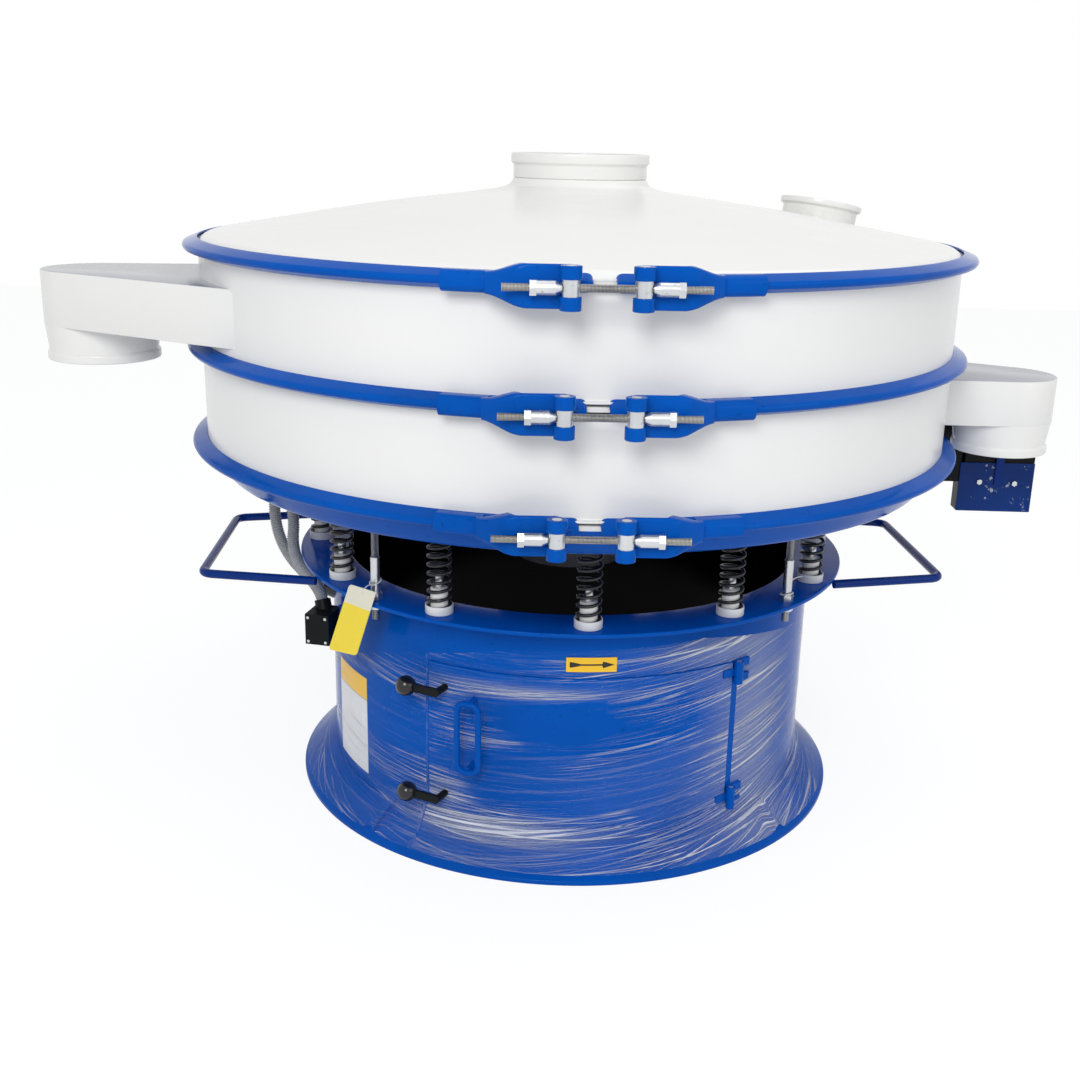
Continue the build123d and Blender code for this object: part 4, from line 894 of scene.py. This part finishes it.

# %% [markdown]
# ## The boxes
# The cable's small box on the base is used as it is. The larger box behind the lower outlet gets
# soft edges, because it is folded from sheet.

# %% The larger box
# The body's black enamel is painted shade: its top and side stand in shade under the spout.
box_shells = [block((165, 40, 156), (950.5, 114, 652)), block((128, 84, 156), (969, 172, 652))]
box_shells.append(block((80, 8, 172), (840, 98, 726)))
make_piece("motor_box", box_shells, black_paint, "sieve", ["control_box"], bevel=2)
# The cover and the strap below take the blue darkened as painted shade.
cover = block((165, 4, 112), (950.5, 92, 630))
make_piece("motor_box_cover", [cover], worn_shade_dark_blue_paint, "sieve", ["control_box_cover"], bevel=1.5)
strap = block((18, 4, 80), (954, 88, 676))
make_piece("motor_box_strap", [strap], shade_dark_blue_paint, "sieve", ["control_box_strap"], bevel=1.5)
bolt_outline = rounded([(0.01, 0), (7, 0), (7, 4), (0.01, 5)], [0.1, 1, 2.5, 0.1], 4)
bolt = skin(turned(bolt_outline, steps=6))
facing_front = ((1, 0, 0), (0, 0, 1), (0, -1, 0))
bolts = [moved(bolt, place, *facing_front) for place in ((913, 90, 642), (991, 90, 640))]
make_piece("motor_box_bolts", bolts, zinc, "sieve", ["control_box_screws"])

# %% [markdown]
# ## The stretch film
# The base is still wrapped for transport. Film that is wound tight lies on the drum, bridges down to
# the skirt and draws up into many fine level folds. It is cut along the door's edges, so that the
# door's share can swing with it.

# %% The film's shape
low_azimuth, fold_sag = -31, 0.11
rib_azimuths = [45 + machine_turn + 90 * index for index in range(4)]


def fold_coordinates(azimuth, height):
    """Metres round the drum and up it, where the folds sag to a low point at the latches' azimuth."""
    around = np.radians((azimuth - low_azimuth) % 360) * base_radius * MM
    sag = fold_sag * (1 - np.cos(np.radians(azimuth - low_azimuth)))
    return around, height * MM - sag


def fold_height(azimuth, height, seed=5):
    """A sum of 26 waves, long round the drum and short up it: each has its own lengths and start."""
    dice = np.random.default_rng(seed)
    around, up = fold_coordinates(azimuth, height)
    total = np.zeros(np.broadcast(azimuth, height).shape)
    for _ in range(26):
        waves_round, waves_up = dice.normal(0, 6), dice.uniform(180, 900)
        reach, start = dice.uniform(0.3, 1), dice.uniform(0, 2 * pi)
        total += reach * np.cos(waves_round * around + waves_up * up + start)
    return total / 6


def film_top(azimuth):
    """The upper edge: high at the front, and low where the cable's box is in the way."""
    azimuths = [0, 30, 74, 110, 260, 274, 300, 322, 349, 360]
    heights = [450, 458, 398, 400, 400, 330, 330, 396, 446, 450]
    return np.interp(azimuth % 360, azimuths, heights)


def film_panel(first, last, wall, top, bottom, columns, rows):
    """Down the wall from the upper edge, and past 104 mm down a straight run to the skirt and along it."""
    azimuth = np.linspace(first, last, columns)[:, None]
    upper = film_top(azimuth) if top is None else top + 0 * azimuth
    height = upper + (bottom - upper) * np.linspace(0, 1, rows)[None]
    radius = np.interp(-height, [-104, -41, -16.5], [wall, 552, 586])
    lift = 0.7 + 0.8 * np.clip(fold_height(azimuth, height), -0.8, 2)
    over_rib = sum(np.exp(-(((azimuth - rib + 180) % 360 - 180) / 1.3) ** 2) for rib in rib_azimuths)
    raised = height + 13.5 * over_rib * np.clip((72 - height) / 20, 0, 1) + lift * (height < 104)
    return around_axis(radius + lift, raised, np.radians(azimuth))


# %% The film's finish
film = bpy.data.materials.new("stretch film")
film.use_nodes = True
film_tree = film.node_tree
film_surface = film_tree.nodes["Principled BSDF"]
film_surface.inputs["Base Color"].default_value = (0.74, 0.77, 0.84, 1)
film_surface.inputs["Specular IOR Level"].default_value = 0.9
film_place = add_node(film_tree, "UVMap", uv_map="film").outputs[0]
film_haze = add_node(film_tree, "Attribute", attribute_name="haze").outputs["Fac"]


def fold_lines(place, along, across, sharp, width):
    """Thin bright lines where a noise stretched along the folds crosses its middle."""
    stretched = add_node(film_tree, "Mapping", {0: place, 3: (along, across, 1)}).outputs[0]
    centred = calculate(film_tree, "SUBTRACT", noise(film_tree, stretched, 1, 2), 0.5)
    size = calculate(film_tree, "ABSOLUTE", centred)
    return remap(film_tree, calculate(film_tree, "MULTIPLY", size, sharp), 0, width, 1, 0)

# %% The film's lines and patches
fine_lines = fold_lines(film_place, 0.5, 150, 14, 0.15)
broad_lines = fold_lines(film_place, 0.5, 40, 18, 0.25)
tilted = {"Vector": film_place, "Angle": 0.1}
film_turned = add_node(film_tree, "VectorRotate", tilted, rotation_type="Z_AXIS").outputs[0]
crossing_lines = fold_lines(film_turned, 0.6, 110, 14, 0.15)
two_lines = calculate(film_tree, "MAXIMUM", fine_lines, crossing_lines)
line_sum = calculate(film_tree, "MULTIPLY_ADD", broad_lines, 0.4, two_lines)
patches = add_node(film_tree, "Mapping", {0: film_place, 3: (3, 11, 1)}).outputs[0]
patch_noise = noise(film_tree, patches, 1, 3)
patch = remap(film_tree, patch_noise, 0.48, 0.6)
print("three kinds of line:", fine_lines.node.name, crossing_lines.node.name, broad_lines.node.name)

# %% How clear the film is
# Lines show in patches and where there is haze; the haze itself is a thin white veil.
patch_room = calculate(film_tree, "MULTIPLY_ADD", patch, 0.45, film_haze, use_clamp=True)
line_alpha = calculate(film_tree, "MULTIPLY", line_sum, patch_room)
haze_alpha = calculate(film_tree, "MULTIPLY_ADD", film_haze, 0.3, -0.02, use_clamp=True)
both_alpha = calculate(film_tree, "MULTIPLY_ADD", line_alpha, 1.9, haze_alpha)
film_tree.links.new(calculate(film_tree, "MINIMUM", both_alpha, 0.92), film_surface.inputs["Alpha"])
film_tree.links.new(remap(film_tree, patch_noise, 0, 1, 0.12, 0.3), film_surface.inputs["Roughness"])
film_tree.links.new(bump(film_tree, line_sum, 0.6, 0.002), film_surface.inputs["Normal"])
print("stretch film:", len(film_tree.nodes), "nodes")

# %% The film's pieces
# Each spot of haze: azimuth in degrees, spread, level in metres, reach, and how much at its middle.
haze_spots = [
    (46, 12, 0.25, 0.3, 0.8),
    (20, 26, 0.25, 0.3, 0.12),
    (-15, 19, 0.072, 0.02, 0.9),
    (-8, 18, 0.362, 0.013, 0.8),
    (34, 14, 0.43, 0.03, 0.45),
    (-26, 5, 0.13, 0.03, 0.4),
    (0, 200, 0.03, 0.02, 0.12),
    (11, 17, 0.31, 0.045, -0.5),
]


def wrap(name, panels, body):
    """Makes a piece of film. Its haze is a sum of bell curves round the spots."""
    piece = make_piece(name, [skin(panel, False, False) for panel in panels], film, body)
    mesh = piece.data
    places = np.empty(len(mesh.vertices) * 3)
    mesh.vertices.foreach_get("co", places)
    x, y, z = places.reshape(-1, 3).T
    azimuth = np.degrees(np.arctan2(x, -y))
    corners = np.empty(len(mesh.loops), int)
    mesh.loops.foreach_get("vertex_index", corners)
    layer = mesh.uv_layers.new(name="film")
    layer.data.foreach_set("uv", np.stack(fold_coordinates(azimuth, z / MM), -1)[corners].ravel())
    hazes = [
        most * np.exp(-(((azimuth - middle) / spread) ** 2) - ((z - level) / reach) ** 2)
        for middle, spread, level, reach, most in haze_spots
    ]
    haze = mesh.attributes.new("haze", "FLOAT", "POINT")
    haze.data.foreach_set("value", 0.04 + sum(hazes))
    return piece


film_radius = base_radius + 0.4
door_film = [film_panel(-30.1, 37.9, door_radius, 395, 89.5, 206, 92)]
base_film = [
    film_panel(-30.5, 40, film_radius, None, 396.5, 220, 18),
    film_panel(-30.5, 40, film_radius, 88, 16.5, 220, 24),
    film_panel(40, 329.3, film_radius, None, 16.5, 520, 120),
]
wrap("film_on_door", door_film, "door")
wrap("film_on_base", base_film, "base")

# %% [markdown]
# ## Labels, tag and ties
# Bare signs are enough here: a yellow one with a plain arrow for the motor's turn, a white panel with
# a yellow head, and a yellow tag that hangs from a stay by a plastic tie. Each is a thin card.

# %% The stuck labels
sign_yellow = finish(
    "yellow sign", (0.90, 0.53, 0.015), 0.3, cloud=0.03, specks=0.1, peel=0.05, waves=0
)
sign_black = finish(
    "black print", (0.006, 0.006, 0.006), 0.35, cloud=0.05, specks=0.1, peel=0.05, waves=0
)
label_white = finish(
    "white label", (0.74, 0.75, 0.76), 0.25, cloud=0.05, specks=0.2, peel=0.05, waves=0
)


def stuck(name, radius, azimuths, half_heights, middle, material, thickness=0.25):
    """A thin curved strip: at each azimuth it reaches half a height above and below its middle."""
    angle = np.radians(azimuths)[:, None]
    half = np.reshape(half_heights, (-1, 1))
    height = middle + half * np.array([1, -1, -1, 1])
    reach = radius + thickness * np.array([0, 0, 1, 1])
    return make_piece(name, [capped(around_axis(reach, height, angle))], material, "base")


sign_level, label_azimuths = 424, np.linspace(-67, -51, 24)
stuck("arrow_sign", 522.9, np.linspace(0, 10.4, 24), 14.5, sign_level, sign_yellow)
arrow_steps = np.linspace(0.7, 9.9, 60)
arrow_half = np.interp(arrow_steps, [0.7, 0.75, 2.2, 3, 7.4, 7.45, 9.9], [4, 6, 3.5, 1.5, 1.5, 7, 0.2])
stuck("arrow_print", 523.15, arrow_steps, arrow_half, sign_level, sign_black, 0.2)
stuck("side_label", base_radius + 0.2, label_azimuths, 82, 168, label_white)
stuck("side_label_head", base_radius + 0.2, label_azimuths, 24, 275, sign_yellow)

# %% The hanging tag
tag_face = finish(
    "yellow card", (0.93, 0.72, 0.03), 0.35, cloud=0.03, specks=0.05, peel=0.05, waves=0
)
tag_tree = tag_face.node_tree
tag_place = add_node(tag_tree, "SeparateXYZ", {0: object_place(tag_tree)})
upper_part = calculate(tag_tree, "GREATER_THAN", tag_place.outputs[2], 0.495)
repaint(tag_face, upper_part, (0.80, 0.78, 0.62))
tie_white = finish("white tie", (0.75, 0.75, 0.74), 0.3, cloud=0.05, specks=0.1, peel=0.1, waves=0)

tag_out, tag_right = outward(-41), outward(49)
stay_left, stay_right = tag_out * 562, tag_right * 562
tag_outline = rounded([(-39, 535), (39, 538), (-23, 392), (-109, 381)], 9, 6)


def card(outline, thickness):
    """A flat card: its outline at the front and again at the back, in (along, up) of the tag's plane."""
    along, up = outline.T
    centre = np.array([along.mean(), up.mean()])
    small = centre + (outline - centre) * 0.02
    lines = [(small, 0), (outline, 0), (outline, thickness), (small, thickness)]
    return capped(np.array([np.column_stack([line, np.full(len(line), depth)]) for line, depth in lines]))


tag_origin = tag_out * 593
tag = moved(card(tag_outline, 0.6), tag_origin, tag_right, straight_up, tag_out)
make_piece("hanging_tag", [tag], tag_face, "base")

# %% The cable ties
def ring_path(centre, radius, tilt, toward, steps=40):
    """A closed loop round a stay, tipped so that it hangs lower on one side."""
    angle = np.linspace(0, 2 * pi, steps)[:, None]
    across = np.cross([0, 0, 1], toward)
    drop = -tilt * (1 + np.cos(angle)) / 2 * straight_up
    return centre + radius * (np.cos(angle) * toward + np.sin(angle) * across) + drop


tie_left = ring_path(stay_left + straight_up * 548, 11, 10, tag_out)
tag_hole = tag_out * 595.5 - tag_right + straight_up * 526
share = np.linspace(0, 1, 24)[:, None]
sag = straight_up * np.sin(pi * share) * 5
drop_line = tie_left[0] + (tag_hole - tie_left[0]) * share + sag
tie_right = ring_path(stay_right + straight_up * 526, 12, 6, -tag_right)
loose_end = stay_right + np.array([26, -4, 560.0])
loose_line = tie_right[0] + (loose_end - tie_right[0]) * share + sag * 2
ties = [tube(path, 1.1, 8) for path in (tie_left, drop_line, tie_right, loose_line)]
make_piece("cable_ties", ties, tie_white, "base")

# %% [markdown]
# ## The floor and the light
# The machine stands in a plain white room: the floor takes a soft shadow, and the camera and the
# gloss see white all round. The lamps are wide, so edges of shadow are soft.

# %% The floor
floor_mesh = bpy.data.meshes.new("floor")
floor_half = 9
floor_corners = [(x * floor_half, y * floor_half, 0) for x, y in ((-1, -1), (1, -1), (1, 1), (-1, 1))]
floor_mesh.from_pydata(floor_corners, [], [(0, 1, 2, 3)])
floor = bpy.data.objects.new("floor", floor_mesh)
bpy.context.scene.collection.objects.link(floor)
floor_paint = bpy.data.materials.new("floor white")
floor_paint.use_nodes = True
floor_tree = floor_paint.node_tree
floor_surface = floor_tree.nodes["Principled BSDF"]
floor_surface.inputs["Base Color"].default_value = (0.86, 0.86, 0.86, 1)
floor_surface.inputs["Roughness"].default_value = 0.7
floor_glow = add_node(floor_tree, "Emission", {"Color": (1, 1, 1, 1), "Strength": 1.17})
floor_rays = add_node(floor_tree, "LightPath")
floor_seen = [floor_rays.outputs[f"Is {kind} Ray"] for kind in ("Camera", "Glossy")]
glow_share = calculate(floor_tree, "MULTIPLY", calculate(floor_tree, "MAXIMUM", *floor_seen), 0.7)
floor_shaders = {0: glow_share, 1: floor_surface.outputs[0], 2: floor_glow.outputs[0]}
floor_mix = add_node(floor_tree, "MixShader", floor_shaders)
floor_tree.links.new(floor_mix.outputs[0], floor_tree.nodes["Material Output"].inputs["Surface"])
floor_mesh.materials.append(floor_paint)
floor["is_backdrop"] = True
print("floor", 2 * floor_half, "m wide")

# %% The lamps
def lamp(name, place, target, size, power):
    """A square lamp at a place, turned to face a target, in metres and watts."""
    data = bpy.data.lights.new(name, "AREA")
    data.shape = "SQUARE"
    data.size = size
    data.energy = power
    holder = bpy.data.objects.new(name, data)
    bpy.context.scene.collection.objects.link(holder)
    back = np.array(place, float) - np.array(target, float)
    back /= np.linalg.norm(back)
    across = np.cross([0, 0, 1], back)
    across /= np.linalg.norm(across)
    matrix = np.eye(4)
    matrix[:3, :3] = np.column_stack([across, np.cross(back, across), back])
    matrix[:3, 3] = place
    holder.matrix_world = Matrix(matrix.tolist())


lamp("key", (-0.8, -4.4, 3.3), (0, 0, 0.8), 1.8, 105)
lamp("fill", (3.6, -2.8, 2.4), (0, 0, 0.7), 2.5, 22)
lamp("top", (1.4, 0.2, 4.2), (0, 0, 1.0), 2.5, 22)
print("lamps:", [light.name for light in bpy.data.lights])

# %% The world
world = bpy.data.worlds.new("room")
bpy.context.scene.world = world
world.use_nodes = True
world_tree = world.node_tree
world_rays = add_node(world_tree, "LightPath")
world_seen = [world_rays.outputs[f"Is {kind} Ray"] for kind in ("Camera", "Transmission", "Glossy")]
seen_or_through = calculate(world_tree, "MAXIMUM", *world_seen[:2])
seen = calculate(world_tree, "MAXIMUM", seen_or_through, world_seen[2])
room_light = world_tree.nodes["Background"]
room_light.inputs["Color"].default_value = (0.95, 0.97, 1, 1)
room_light.inputs["Strength"].default_value = 0.55
room_white = add_node(world_tree, "Background", {"Color": (1, 1, 1, 1), "Strength": 1.0})
room_shaders = {0: seen, 1: room_light.outputs[0], 2: room_white.outputs[0]}
room_mix = add_node(world_tree, "MixShader", room_shaders)
world_tree.links.new(room_mix.outputs[0], world_tree.nodes["World Output"].inputs["Surface"])
print("world:", len(world_tree.nodes), "nodes")

sizes = {"cad": [list(map(float, corner)) for corner in cad_box], "scene": [list(map(float, corner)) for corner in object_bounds()]}
for label, (low, high) in sizes.items():
    print(label, "spans", np.round(np.subtract(high, low), 3))
